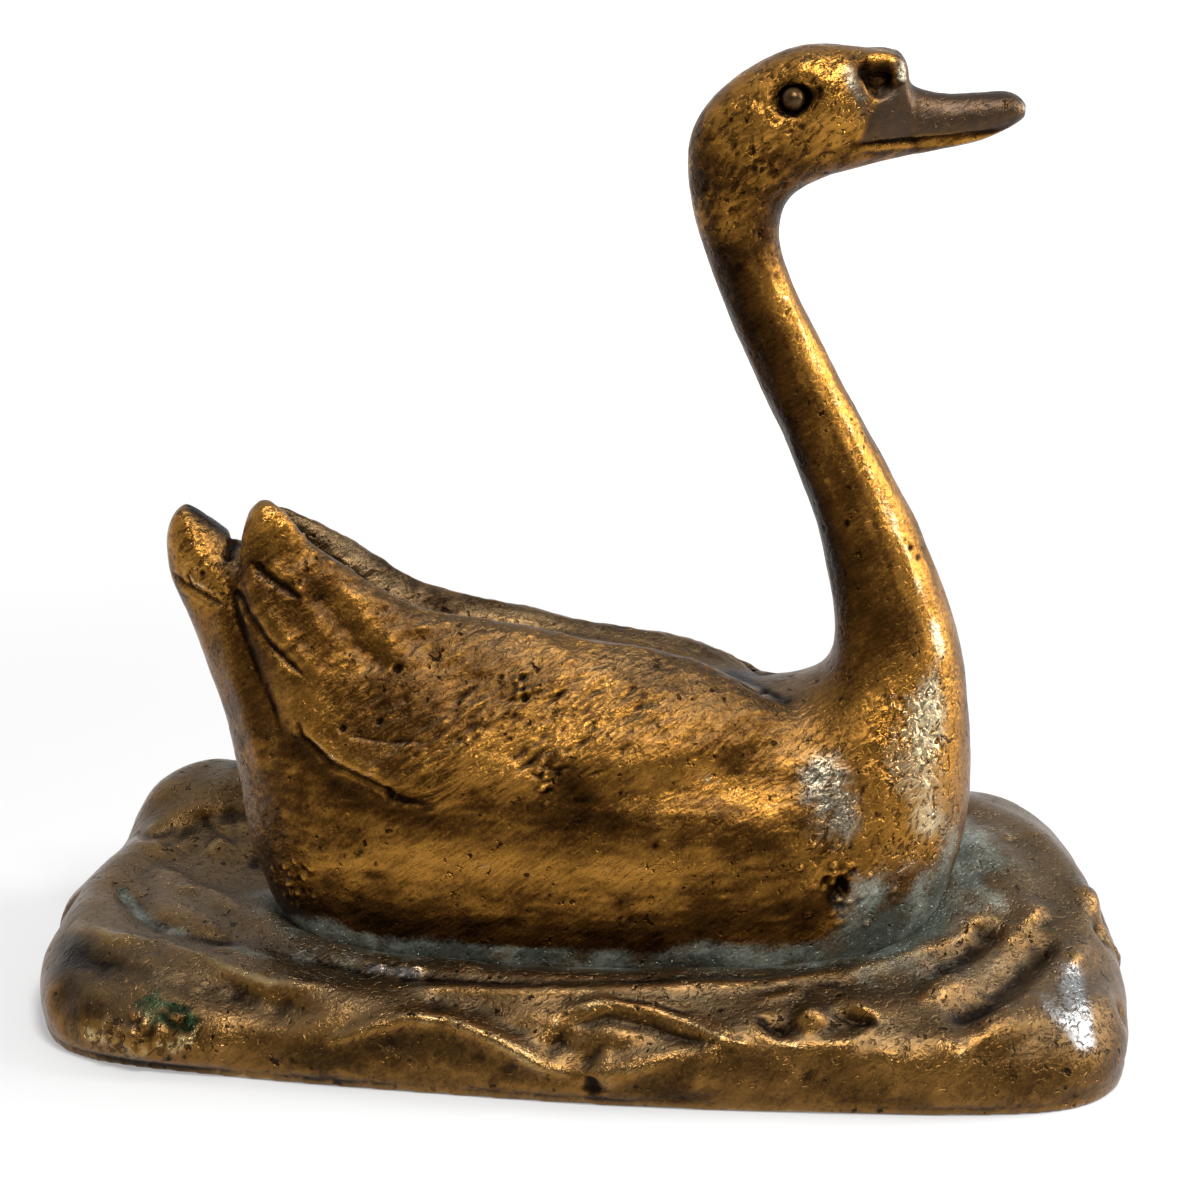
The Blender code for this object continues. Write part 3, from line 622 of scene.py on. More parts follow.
# The swan: one skin over its four castings, sculpted, then parted at their joints
swanSet = {
    "voxel": 0.5 * mm * coarse,
    "swell": 0.3 * mm,   # the solids grow by this before they are joined
    "foot": 18.3 * mm,   # height of the flat foot that stands in the base
    "footRim": 1.2 * mm,
    "footTop": 1.5 * mm,
    "waterLevel": 24.0 * mm,
    "facetRounds": round(90 / coarse ** 2),
    "creaseRounds": round(60 / coarse ** 2),
    "lumps": [(24, 0.55), (10, 0.3), (4.2, 0.09), (1.9, 0.03), (1.1, 0.03)],   # size and height, mm
    "clouds": [(17, 0.26), (7, 0.14), (3, 0.10)],   # size in mm and strength of lighter and darker patches
    "pits": (500, 0.4 * mm, 1.2 * mm, 0.4 * mm),   # number, smallest and largest radius, depth
    "combing": {   # height in mm, way, width in mm, stretch, seed
        "neck": (0.16, (0.35, 0.0, -0.94), 1.6, 5.0, 51),
        "wing": (0.20, (0.77, 0.0, 0.64), 1.5, 6.0, 52),
        "flank": (0.09, (1.0, 0.0, 0.05), 1.4, 3.5, 53),
    },
    "zones": {   # from nothing to full, in m
        "billUp": (0.150, 0.160), "billAhead": (0.046, 0.056), "neckUp": (0.075, 0.10),
        "neckTop": (0.165, 0.18), "flankTop": (0.060, 0.075), "headUp": (0.160, 0.172),
        "chasedUp": (0.160, 0.175), "chasedBack": (-0.062, -0.05), "breast": (0.045, 0.075),
        "shoulder": (-0.034, -0.010), "wingEdge": (-0.092, -0.084), "wingTop": (0.07, 0.08),
    },
    # Drawn marks: pixels, width and depth in mm; a minus digs in
    "marks": [
        ([(263, 501), (284, 520), (313, 541), (341, 559), (370, 582), (399, 599), (427, 609), (487, 618),
          (533, 622), (594, 644), (671, 649), (732, 675), (768, 692)], 0.8, 0.35),
        ([(168, 572), (180, 584), (205, 596), (226, 606)], 0.9, -1.0),
        ([(238, 526), (233, 545), (226, 562)], 1.1, -1.5),
        ([(226, 568), (240, 620), (258, 672), (284, 734)], 1.1, -0.7),
        ([(216, 600), (228, 650), (246, 710), (262, 770)], 3.0, 0.8),
        ([(234, 576), (246, 612), (268, 645), (306, 678)], 1.0, -1.1),
        ([(244, 570), (264, 612), (294, 650), (326, 680)], 2.0, 0.6),
        ([(250, 560), (272, 579), (302, 599)], 1.1, -1.1),
        ([(268, 560), (310, 604), (346, 650)], 2.4, 0.5),
        ([(306, 582), (336, 620), (364, 652), (394, 670)], 2.8, -1.0),
        ([(345, 585), (385, 632), (425, 668)], 3.0, 0.5),
        ([(400, 630), (440, 670), (490, 700)], 3.4, -0.6),
        ([(292, 712), (300, 738), (328, 766), (380, 792), (436, 806)], 1.1, -1.6),
        ([(302, 714), (312, 738), (342, 762), (390, 780)], 1.6, 0.5),
        ([(294, 728), (300, 752), (330, 782), (390, 806)], 2.8, -0.8),
        ([(345, 735), (385, 741), (430, 742)], 0.6, -0.35),
        ([(501, 677), (525, 677), (525, 700), (501, 700), (501, 677)], 0.5, -0.2),
        ([(868, 776), (860, 800), (864, 816), (852, 840), (850, 862)], 0.6, -0.35),
        ([(530, 772), (548, 784), (561, 779)], 0.6, -0.6),
        ([(538, 764), (556, 770), (572, 766)], 0.6, -0.5),
        ([(545, 788), (566, 796), (580, 792)], 0.6, -0.5),
        ([(735, 676), (760, 688), (786, 700)], 0.9, -0.9),
        ([(856, 144), (900, 141), (950, 137), (1000, 130)], 0.55, -1.0),
        ([(856, 150), (900, 147), (950, 143), (996, 137)], 0.7, 0.25),
        ([(882, 86), (870, 108), (862, 132)], 1.3, -0.35),
        ([(856, 72), (868, 72), (882, 74), (894, 77)], 1.9, -1.7),
        ([(864, 80), (878, 81), (890, 82)], 1.8, -0.8),
        ([(862, 59), (882, 57), (901, 62)], 1.8, 0.7),
        ([(800, 98), (808, 94), (824, 87)], 1.5, -0.7),
        ([(775, 104), (783, 112)], 1.0, -0.6),
        ([(775, 272), (790, 296)], 1.3, -0.4),
        ([(486, 748), (560, 772), (640, 786), (720, 790), (800, 778), (832, 762)], 4.0, -0.8),
    ],
    "bumps": [(899, 64, 2.2, 0.8), (880, 58, 2.0, 0.4)],   # pixels, radius and height in mm
    "pulls": [   # place, pull and radius in mm
        ((-61.5, -14.0, 110.5), (0.6, 0.0, 3.4), 4.4), ((-69.0, -12.0, 114.0), (1.2, 0.0, -1.2), 2.4),
        ((-66.0, -11.0, 113.0), (0.0, 0.0, 0.7), 2.6), ((-67.5, 7.0, 111.0), (0.8, 0.0, -0.8), 4.5),
    ],
    "tip": {"pixel": (262, 514), "radius": 4.4 * mm, "rounds": round(40 / coarse ** 2), "swell": 2.0 * mm},
    "holes": [   # pixels, radius and depth in mm
        (201, 574, 1.1, 1.3), (397, 668, 1.0, 1.3), (342, 729, 0.7, 1.0), (379, 722, 0.6, 0.9),
        (841, 888, 2.0, 2.4), (832, 897, 0.9, 1.1), (501, 677, 0.5, 0.5), (525, 700, 0.5, 0.5),
        (912, 548, 0.7, 0.7), (919, 558, 0.6, 0.6), (906, 541, 0.5, 0.5), (846, 524, 0.6, 0.7),
        (738, 268, 0.6, 0.6), (730, 120, 0.5, 0.5), (655, 846, 0.6, 0.6),
    ],
    "knobs": [   # pixels, number and reach
        (842, 890, 40, 20), (292, 885, 30, 14), (520, 690, 8, 8), (545, 775, 14, 12),
    ],
    # Painted marks: pixels, width in mm and amount; plus is gold and minus is dark. Among them are painted
    # highlights, a painted reflection and painted shade, marked below
    "tones": [
        ([(740, 75), (725, 110)], 6, 0.3), ([(815, 66), (830, 74)], 3.5, 0.55),
        ([(850, 118), (838, 130)], 3.5, 0.5),
        # the gold band along the lower flank, on this line and the next two, is a painted reflection of the
        # floor
        ([(330, 862), (500, 868), (640, 874), (760, 856)], 3.0, 0.35),
        ([(700, 774), (766, 806)], 2.6, 1.1), ([(590, 862), (672, 878)], 2.2, 0.35),
        ([(420, 848), (505, 868)], 2.2, 0.5), ([(540, 756), (586, 800)], 3.0, -0.5),
        ([(470, 800), (640, 820)], 2.6, -0.3), ([(690, 830), (790, 860)], 4.0, -0.2),
        ([(270, 600), (330, 680), (400, 720)], 8.0, -0.3), ([(500, 690), (640, 680)], 8.0, -0.18),
        ([(490, 760), (600, 710)], 8.0, 0.35), ([(176, 530), (205, 585)], 4.0, 0.5),
        # painted highlights down the neck's right side and the breast, on this line and the next two
        ([(194, 507), (228, 531)], 2.6, -0.8), ([(938, 630), (930, 730)], 3.0, 0.8),
        ([(926, 700), (928, 820)], 8.0, 1.35), ([(890, 735), (895, 785)], 3.0, 0.5),
        ([(783, 290), (850, 425), (905, 545), (945, 650)], 2.4, 1.0),
        ([(262, 501), (341, 559), (427, 609), (533, 622), (671, 649)], 1.0, 0.45),
        ([(280, 905), (450, 932), (650, 940), (800, 915)], 5.0, -0.75),
        ([(400, 830), (640, 830)], 3.5, -0.2),
        # painted shade down the neck's left side; more follows below at the back of the head, under the jaw,
        # in the nostril, the mouth line, the wing grooves and the holes
        ([(700, 190), (740, 300), (790, 430), (830, 560)], 3.0, -0.45),
        ([(812, 655), (818, 650)], 5.0, -0.35), ([(300, 748), (346, 790), (420, 808)], 2.6, -0.7),
        ([(785, 205), (770, 230)], 4.0, -0.5), ([(236, 535), (228, 560)], 2.2, -0.9),
        ([(245, 640), (262, 720), (290, 800)], 5.0, -0.3),
        ([(228, 572), (258, 672), (284, 734)], 1.2, -0.2), ([(308, 584), (364, 652)], 2.0, -0.35),
        ([(252, 562), (300, 598)], 1.2, -0.5), ([(870, 152), (940, 148), (1000, 141)], 1.2, -0.4),
        ([(300, 718), (340, 764), (388, 782)], 1.2, 0.1), ([(866, 73), (880, 75), (895, 79)], 3.1, -1.6),
        ([(800, 99), (820, 92)], 2.0, -0.8), ([(776, 102), (786, 116)], 1.2, -0.7),
        ([(760, 160), (800, 170)], 4.0, -0.25), ([(722, 178), (770, 196)], 6.0, -0.5),
        ([(696, 120), (700, 180)], 4.0, -0.35), ([(841, 890), (832, 897)], 1.8, -1.0),
        ([(735, 674), (786, 700)], 1.6, -0.9), ([(856, 144), (1000, 131)], 0.8, -0.9),
    ],
    # silvery rubbed metal on the breast; painted glints on the knob's front and the bill tip, a painted sheen
    # on the lore, painted highlights down the breast
    "silverAndGlint": [
        ([(824, 778), (836, 818)], 6.2, 0.75), ([(900, 60), (902, 77)], 1.0, 0.9),
        ([(846, 72), (858, 98)], 2.0, 0.45), ([(1024, 99), (1030, 112)], 1.3, 0.8),
        ([(937, 660), (931, 724)], 1.6, 0.25), ([(924, 700), (926, 815)], 7.0, 0.22),
    ],
    "hatch": [
        ([(450, 770), (540, 730), (630, 700)], 9.0, 0.9), ([(700, 775), (760, 800)], 4.0, 0.6),
        ([(360, 870), (560, 880)], 4.0, 0.2), ([(350, 700), (420, 740)], 7.0, 0.5),
        ([(200, 540), (260, 590)], 7.0, 0.3),
    ],
    "chased": [
        ([(826, 765), (824, 845)], 5.5, 0.8), ([(936, 690), (944, 830)], 6.0, 0.8),
        ([(180, 525), (215, 590)], 6.0, 0.8), ([(890, 730), (900, 840)], 6.0, 0.8),
    ],
    "crusted": [([(843, 890)], 4.6, 0.25), ([(292, 890)], 3.5, 0.25)],
    "grit": [([(826, 770), (824, 840)], 5, 1.0), ([(936, 700), (942, 800)], 5, 0.7)],
    "cavity": [([(838, 884), (845, 894)], 2.0, 1.3)],
    "lore": [([(853, 80), (862, 98), (866, 112)], 1.8, 0.8)],
    # Chased strokes: number, place and length in pixels, width and depth in mm
    "feathers": {"count": 64, "across": (425, 610), "down": (700, 785), "slope": (-0.8, -0.55),
                 "length": (24, 60), "bend": 4, "width": (0.45, 0.6), "depth": (-0.34, -0.16)},
    "lightFeathers": {"count": 40, "across": (330, 720), "down": (640, 770), "slope": (-0.7, -0.2),
                      "length": (15, 45), "width": (0.5, 0.9), "depth": (-0.18, 0.14)},
    "flankNicks": {"count": 150, "across": (270, 840), "down": (800, 940), "slope": (-0.25, 0.25),
                   "length": (8, 45), "width": (0.42, 0.8), "depth": (-0.18, 0.08)},
    "headDashes": {"count": 190, "across": (757, 40), "down": (135, 42), "angle": (-0.75, 0.5),
                   "half": (3.5, 8.0), "bend": 2, "width": (0.42, 0.55), "depth": (-0.5, -0.15)},
    "neckNicks": {"count": 150, "aside": 24, "length": (8, 40), "width": (0.42, 0.8), "depth": (-0.15, 0.08),
                  "line": [(735, 190), (757, 290), (800, 395), (852, 515), (892, 640), (900, 760)]},
    "breastDashes": {"count": 130, "across": (868, 952), "down": (680, 850), "lean": 0.35,
                     "length": (8, 24), "bend": 4, "width": (0.42, 0.65), "depth": (-0.45, -0.12)},
    "tailDashes": {"count": 60, "across": (186, 11), "down": (546, 22), "way": (0.55, 0.85), "stray": 2.5,
                   "length": (5, 14), "bend": 2, "width": (0.42, 0.55), "depth": (-0.5, -0.2)},
    "finish": {
        "grain": 1.0,
        "metallic": 1.0,
        "bump": 0.8,
        "bumpDepth": 0.0006,
        "bill": [(0.026, 0.017, 0.012, 1), (0.082, 0.056, 0.038, 1)],
        "silverAndGlint": [(0.13, 0.115, 0.08, 1), (0.42, 0.38, 0.28, 1)],
        # Pale also colours the painted highlights on neck and breast, and the grey colours the painted
        # reflection on upward faces
        "colours": {
            "Dark": (0.009, 0.004, 0.0015, 1), "Brown": (0.062, 0.026, 0.005, 1),
            "Gold": (0.33, 0.152, 0.026, 1), "Pale": (0.64, 0.53, 0.33, 1), "ReflectedGrey": (0.125, 0.09, 0.05, 1),
        },
    },
}
birdFixings = {   # pins, rivets and plugs that lie flush in each casting
    "swan_body": ["right_flank_plug", "left_flank_plug", "rump_plug"],
    "breast_neck_and_head": [
        "right_upper_seam_pin", "right_lower_seam_pin", "left_upper_seam_pin", "left_lower_seam_pin",
    ],
    "right_wing": ["right_wing_rear_rivet", "right_wing_front_rivet"],
    "left_wing": ["left_wing_rear_rivet", "left_wing_front_rivet"],
}
zones = swanSet["zones"]
foot = swanSet["foot"]
swell = swanSet["swell"]
filler = [nodeMesh(name, swell) for name in birdNodes + sum(birdFixings.values(), [])]
footPoints = birdPoints[birdPoints[:, 2] < foot + swanSet["footRim"]]
filler.append(hullSlab(footPoints, foot - swell, foot + swanSet["footTop"]))
points, quads = voxelSkin(*joinMeshes(filler), swanSet["voxel"])
edges = quadEdges(quads, len(points))
points = points - vertexNormals(points, quads) * swell
print("swan skin:", len(points), "points")

owners = np.array([birdOwners[birdTree.find_nearest(point)[2]] for point in points.tolist()])
isFront = spread((owners == 1).astype(float), edges, 8)
isWing = spread((owners >= 2).astype(float), edges, 8)

# The solids' facets are smoothed away, but not the edges of wings, tail and bill
bulge = np.abs(bulges(points, vertexNormals(points, quads), edges, round(30 / coarse ** 2)))
soften = 0.62 * (1 - ease(spread(bulge, edges, 6), 0.26 * mm, 0.5 * mm))
onBill = ease(points[:, 2], *zones["billUp"]) * ease(points[:, 0], *zones["billAhead"])   # with its knob
points = spread(points, edges, swanSet["facetRounds"], soften * (1 - onBill))
points = spread(points, edges, round(9 / coarse ** 2), 0.5 * (1 - 0.7 * onBill))
seam = spread((owners >= 2).astype(float), edges, round(22 / coarse))
atSeam = 4 * seam * (1 - seam) * ease(points[:, 0], *zones["shoulder"])
atSeam = atSeam * ease(-points[:, 2], *zones["wingEdge"])
points = spread(points, edges, swanSet["creaseRounds"], np.clip(atSeam, 0, 1) * 0.6)
points = spread(points, edges, 2, 0.3)
for place, pull, radius in swanSet["pulls"]:
    away = np.linalg.norm(points - np.array(place) * mm, axis=1)
    points = points + bell(away, radius * mm)[:, None] * np.array(pull) * mm
tip = swanSet["tip"]   # the near wing's tip is blunt
atTip = bell(np.linalg.norm(points - onSkin(*tip["pixel"]), axis=1), tip["radius"])
points = spread(points, edges, tip["rounds"], 0.6 * atTip)
points = points + vertexNormals(points, quads) * (tip["swell"] * atTip)[:, None]
normals = vertexNormals(points, quads)

lift = mm * layers(points, swanSet["lumps"], 31)
tone = np.zeros(len(points))
upNeck = isFront * ease(points[:, 2], *zones["neckUp"]) * (1 - ease(points[:, 2], *zones["neckTop"]))
flank = (1 - isWing) * (1 - isFront) * (1 - ease(points[:, 2], *zones["flankTop"]))
for label, area in (("neck", upNeck), ("wing", isWing), ("flank", flank)):
    height, way, width, stretch, seed = swanSet["combing"][label]
    lift += area * height * mm * streaks(points, way, width * mm, stretch, seed)
for pixels, width, depth in swanSet["marks"]:
    for line in bothSides(pixelLine(pixels)):
        carve(lift, points, line, width * mm, depth * mm, broken=0.12)
for across, down, radius, height in swanSet["bumps"]:
    for line in bothSides(dab(across, down), 0.0):
        carve(lift, points, line, radius * mm, height * mm, broken=0.0)
for across, down, radius, depth in swanSet["holes"]:
    for line in bothSides(dab(across, down), 5 * mm):
        carve(lift, points, line, 0.8 * radius * mm, -depth * mm)
        # painted shade inside each hole
        tint(tone, points, line, 0.9 * radius * mm, -1.0)


# Chased strokes: feathers on the wings, curls on the cheek, nicks along neck and flank
def addStroke(line, form):
    strokes.append((line, chance.uniform(*form["width"]), chance.uniform(*form["depth"])))


def evenStrokes(form):
    for turn in range(form["count"]):
        start = np.array([chance.uniform(*form["across"]), chance.uniform(*form["down"])])
        way = np.array([1.0, chance.uniform(*form["slope"])]) * chance.uniform(*form["length"])
        line = [start, start + way]
        if "bend" in form:
            line.insert(1, start + way * 0.5 + chance.uniform(-form["bend"], form["bend"]))
        addStroke(line, form)


strokes = []
evenStrokes(swanSet["feathers"])
evenStrokes(swanSet["lightFeathers"])
form = swanSet["headDashes"]
for turn in range(form["count"]):
    middle = np.array([chance.normal(*form["across"]), chance.normal(*form["down"])])
    angle = chance.normal(*form["angle"])
    half = np.array([math.cos(angle), math.sin(angle)]) * chance.uniform(*form["half"])
    bend = chance.uniform(-form["bend"], form["bend"])
    addStroke([middle - half, middle + bend, middle + half], form)
form = swanSet["neckNicks"]
neckLine = np.array(form["line"])
for turn in range(form["count"]):
    leg = chance.integers(0, len(neckLine) - 1)
    way = neckLine[leg + 1] - neckLine[leg]
    start = neckLine[leg] + way * chance.random() + (chance.normal(0, form["aside"]), 0)
    addStroke([start, start + way / np.linalg.norm(way) * chance.uniform(*form["length"])], form)
evenStrokes(swanSet["flankNicks"])
form = swanSet["breastDashes"]
for turn in range(form["count"]):
    start = np.array([chance.uniform(*form["across"]), chance.uniform(*form["down"])])
    way = np.array([chance.normal(0, form["lean"]), 1.0]) * chance.uniform(*form["length"])
    bend = np.array([chance.uniform(-form["bend"], form["bend"]), 0.0])
    addStroke([start, start + way * 0.5 + bend, start + way], form)
form = swanSet["tailDashes"]
for turn in range(form["count"]):
    start = np.array([chance.normal(*form["across"]), chance.normal(*form["down"])])
    way = np.array(form["way"]) * chance.uniform(*form["length"]) + chance.normal(0, form["stray"], 2)
    bend = chance.uniform(-form["bend"], form["bend"], 2)
    addStroke([start, start + way * 0.5 + bend, start + way], form)
for pixels, width, depth in strokes:
    line = pixelLine(pixels, 9.0)
    gaps = [np.linalg.norm(end - start) for start, end in zip(line[:-1], line[1:])]
    if gaps and max(gaps) < 6 * mm:   # not across a step from one form to another
        for side in bothSides(line, 4 * mm):
            carve(lift, points, side, width * mm, depth * mm, broken=0.5)
print("swan strokes:", len(strokes))

grit = paint(np.zeros(len(points)), points, swanSet["grit"])
lift += grit * 0.16 * mm * noise(points, 1.8 * mm, 61)
for across, down, count, reach in swanSet["knobs"]:
    for turn in range(count):
        knob = dab(across + chance.normal(0, reach), down + chance.normal(0, reach))
        height = chance.choice([-0.5, 0.4, 0.6, 0.8])
        for line in bothSides(knob):
            carve(lift, points, line, chance.uniform(0.45, 0.9) * mm, height * mm, broken=0.0)
            tint(tone, points, line, 0.9 * mm, -0.25)
sprinklePits(lift, points, *swanSet["pits"])

# Eye sockets and nostril, dug in and darkened with painted shade
eyeMiddles = {}
for side in ("right", "left"):
    low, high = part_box(side + "_eye")
    eyeMiddles[side] = (np.array(low) + np.array(high)) / 2
    away = np.linalg.norm(points - eyeMiddles[side], axis=1)
    lift -= 0.6 * mm * bell(away, 4.2 * mm)
    # painted shade in the socket
    tone -= 0.75 * bell(away, 3.4 * mm)
lift *= ease(points[:, 2], foot, foot + 3 * mm)
# painted shade where the bill, knob and nostril are dug deep
tone -= 1.6 * onBill * ease(-lift, 0.7 * mm, 1.5 * mm)
points = np.clip(points + normals * lift[:, None], boxLow, boxHigh)
normals = vertexNormals(points, quads)

# Masks for the material, painted from the same view
paint(tone, points, swanSet["tones"], mirrored=True)
silverAndGlint = paint(np.zeros(len(points)), points, swanSet["silverAndGlint"], mirrored=True)
hollow, worn = relief(points, normals, edges)
billTop, billFoot = onSkin(880, 88), onSkin(862, 132)
billWay = (billFoot - billTop) / np.linalg.norm((billFoot - billTop)[[0, 2]])
past = (points[:, 0] - billTop[0]) * -billWay[2] + (points[:, 2] - billTop[2]) * billWay[0]
mouthBack, mouthTip = onSkin(858, 142), onSkin(1000, 129)
mouthRise = (mouthTip[2] - mouthBack[2]) / (mouthTip[0] - mouthBack[0])
overMouth = points[:, 2] - mouthBack[2] - (points[:, 0] - mouthBack[0]) * mouthRise
bill = ease(past, -0.4 * mm, 1.2 * mm) * ease(overMouth, -0.5 * mm, 0.5 * mm)
bill = np.clip(paint(bill, points, swanSet["lore"]), 0, 1)
bill = bill * (0.9 + 0.1 * noise(points, 1.5 * mm, 62)) * (1 - ease(-tone, 0.6, 1.3))
onCheek = ease(points[:, 2], *zones["chasedUp"]) * (1 - bill) * ease(-points[:, 0], *zones["chasedBack"])
chased = 0.12 + 0.72 * onCheek
paint(chased, points, swanSet["chased"], mirrored=True)
crusted = paint(np.zeros(len(points)), points, swanSet["crusted"], mirrored=True)
cavity = paint(np.zeros(len(points)), points, swanSet["cavity"])
toBreast = ease(points[:, 0], *zones["breast"])
bandHeight = (2.6 * mm + 14.0 * mm * toBreast) * (1 + 0.7 * noise(points, 9 * mm, 70))
overWater = np.clip((points[:, 2] - swanSet["waterLevel"]) / np.maximum(bandHeight, 1 * mm), 0, 9)
band = np.exp(-overWater ** 1.5)
verdigris = crusted + band * (0.75 + 0.45 * toBreast) + 0.2 * band * noise(points, 5 * mm, 71)
verdigris *= (1 + 0.3 * streaks(points, (0.8, 0.0, 0.6), 2.2 * mm, 3.5, 74)) * (1 - np.clip(cavity, 0, 1))
verdigris = np.clip(verdigris, 0, 1)
onHead = ease(points[:, 2], *zones["headUp"]) * (1 - bill)
tone += layers(points, swanSet["clouds"], 63)
tone += 0.12 * onHead + 0.34 * onHead * streaks(points, (0.7, 0.0, 0.7), 1.1 * mm, 2.2, 75)
tone += 0.30 * flank * streaks(points, (1.0, 0.0, 0.06), 1.1 * mm, 4.0, 73)
tone += 0.16 * flank * noise(points, 4 * mm, 76)
inwards = np.sign(midPlane - points[:, 1]) * normals[:, 1]
trough = isWing * ease(inwards, 0.0, 0.4) * ease(points[:, 2], *zones["wingTop"])   # between wings and back
# painted shade: the neck darker on its side that faces back, and the trough between wings and back darker
tone -= 0.42 * upNeck * ease(-normals[:, 0], -0.55, 0.1) + 0.4 * trough
# painted reflection: upward faces, and the trough between wings and back, mix in the grey of the bright room
# overhead
sky = np.maximum(ease(normals[:, 2], 0.35, 0.95) * (1 - 0.5 * isFront), 1.25 * trough)
hatch = paint(np.full(len(points), 0.12), points, swanSet["hatch"], mirrored=True)
birdMasks = {
    "hollow": hollow * (1 - 0.8 * trough),
    "worn": worn * (1 - 0.8 * trough),
    "tone": np.clip(tone, -1.3, 1.7),
    "sky": 0.75 * sky,
    "bill": bill,
    "silverAndGlint": np.clip(silverAndGlint * (1 + 0.5 * noise(points, 2.2 * mm, 66)), 0, 1),
    "verdigris": verdigris,
    "chased": np.clip(chased, 0, 1),
    "hatch": np.clip(hatch, 0, 1),
}
swanBronze = bronzeMaterial("swanBronze", swanSet["finish"], birdMasks)


# Parting the skin: each face goes to its casting, and each part is closed behind its joint
def neighbourFaces(quads, count):   # pairs of faces that share an edge
    keys = sideKeys(quadSides(quads), count)
    order = np.argsort(keys, kind="stable")
    faces = np.tile(np.arange(len(quads)), 4)[order]
    shared = np.flatnonzero(np.diff(keys[order]) == 0)
    return np.stack([faces[shared], faces[shared + 1]], axis=1)


def tidyOwners(labels, pairs):   # ragged borders are smoothed, and each casting is one patch
    faceOwner = labels.copy()
    for turn in range(6):
        votes = np.stack([
            np.bincount(pairs[:, 0], faceOwner[pairs[:, 1]] == label, len(labels))
            + np.bincount(pairs[:, 1], faceOwner[pairs[:, 0]] == label, len(labels))
            for label in range(4)
        ])
        faceOwner = np.where(votes.max(axis=0) >= 3, votes.argmax(axis=0), faceOwner)
    patch = islands(len(labels), pairs[faceOwner[pairs[:, 0]] == faceOwner[pairs[:, 1]]])
    names, sizes = np.unique(patch, return_counts=True)
    loose = np.ones(len(labels), dtype=bool)
    for label in range(4):
        own = [(size, name) for size, name in zip(sizes, names) if faceOwner[name] == label]
        loose[patch == max(own)[1]] = False
    while loose.any():
        border = pairs[loose[pairs[:, 0]] != loose[pairs[:, 1]]]
        swap = loose[border[:, 0]]
        free = np.where(swap, border[:, 0], border[:, 1])
        held = np.where(swap, border[:, 1], border[:, 0])
        faceOwner[free] = faceOwner[held]
        loose[free] = False
    return faceOwner


def closedPart(name, mine, inner):   # inner draws a cap's middle towards the swan's mid-plane
    used = np.unique(mine)
    renumber = np.full(len(points), -1)
    renumber[used] = np.arange(len(used))
    partPoints = points[used]
    partQuads = renumber[mine]
    allSides = quadSides(partQuads)
    keys = sideKeys(allSides, len(used))
    first, counts = np.unique(keys, return_index=True, return_counts=True)[1:]
    rim = allSides[first[counts == 1]]   # sides that have a face on one hand only
    loopOf = islands(len(used), rim)[rim[:, 0]]
    capPoints = []
    capFaces = []
    capFrom = []
    for loop in np.unique(loopOf):
        ring = rim[loopOf == loop]
        middle = partPoints[ring[:, 0]].mean(axis=0)
        middle[1] += (midPlane - middle[1]) * inner
        capFaces.extend([[end, start, len(used) + len(capPoints)] for start, end in ring])
        capPoints.append(middle)
        capFrom.append(ring[0, 0])
    rows = np.concatenate([used, used[capFrom]])
    masks = {label: values[rows] for label, values in birdMasks.items()}
    mesh = plainMesh(name, np.concatenate([partPoints, capPoints]), partQuads, capFaces, masks)
    mesh.normals_split_custom_set_from_vertices(normals[rows].tolist())
    print(name, len(mesh.polygons), "faces,", len(capPoints), "joints closed")
    return mesh


faceOwner = tidyOwners(owners[quads[:, 0]], neighbourFaces(quads, len(points)))
underFoot = (points[quads, 2] < foot + 0.25 * mm).all(axis=1)
faceOwner[underFoot] = -1   # the flat foot, hidden in the base, is closed by a few faces instead
partShapes = {"swanBody": 0.15, "breastNeckAndHead": 0.15, "rightWing": 0.3, "leftWing": 0.3}
for label, (partName, inner) in enumerate(partShapes.items()):
    part = addPiece(partName, closedPart(partName, quads[faceOwner == label], inner), swanBronze)
    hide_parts(birdNodes[label], *birdFixings[birdNodes[label]])
    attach(part, "root")
crustBeds = [(points, quads, verdigris)]

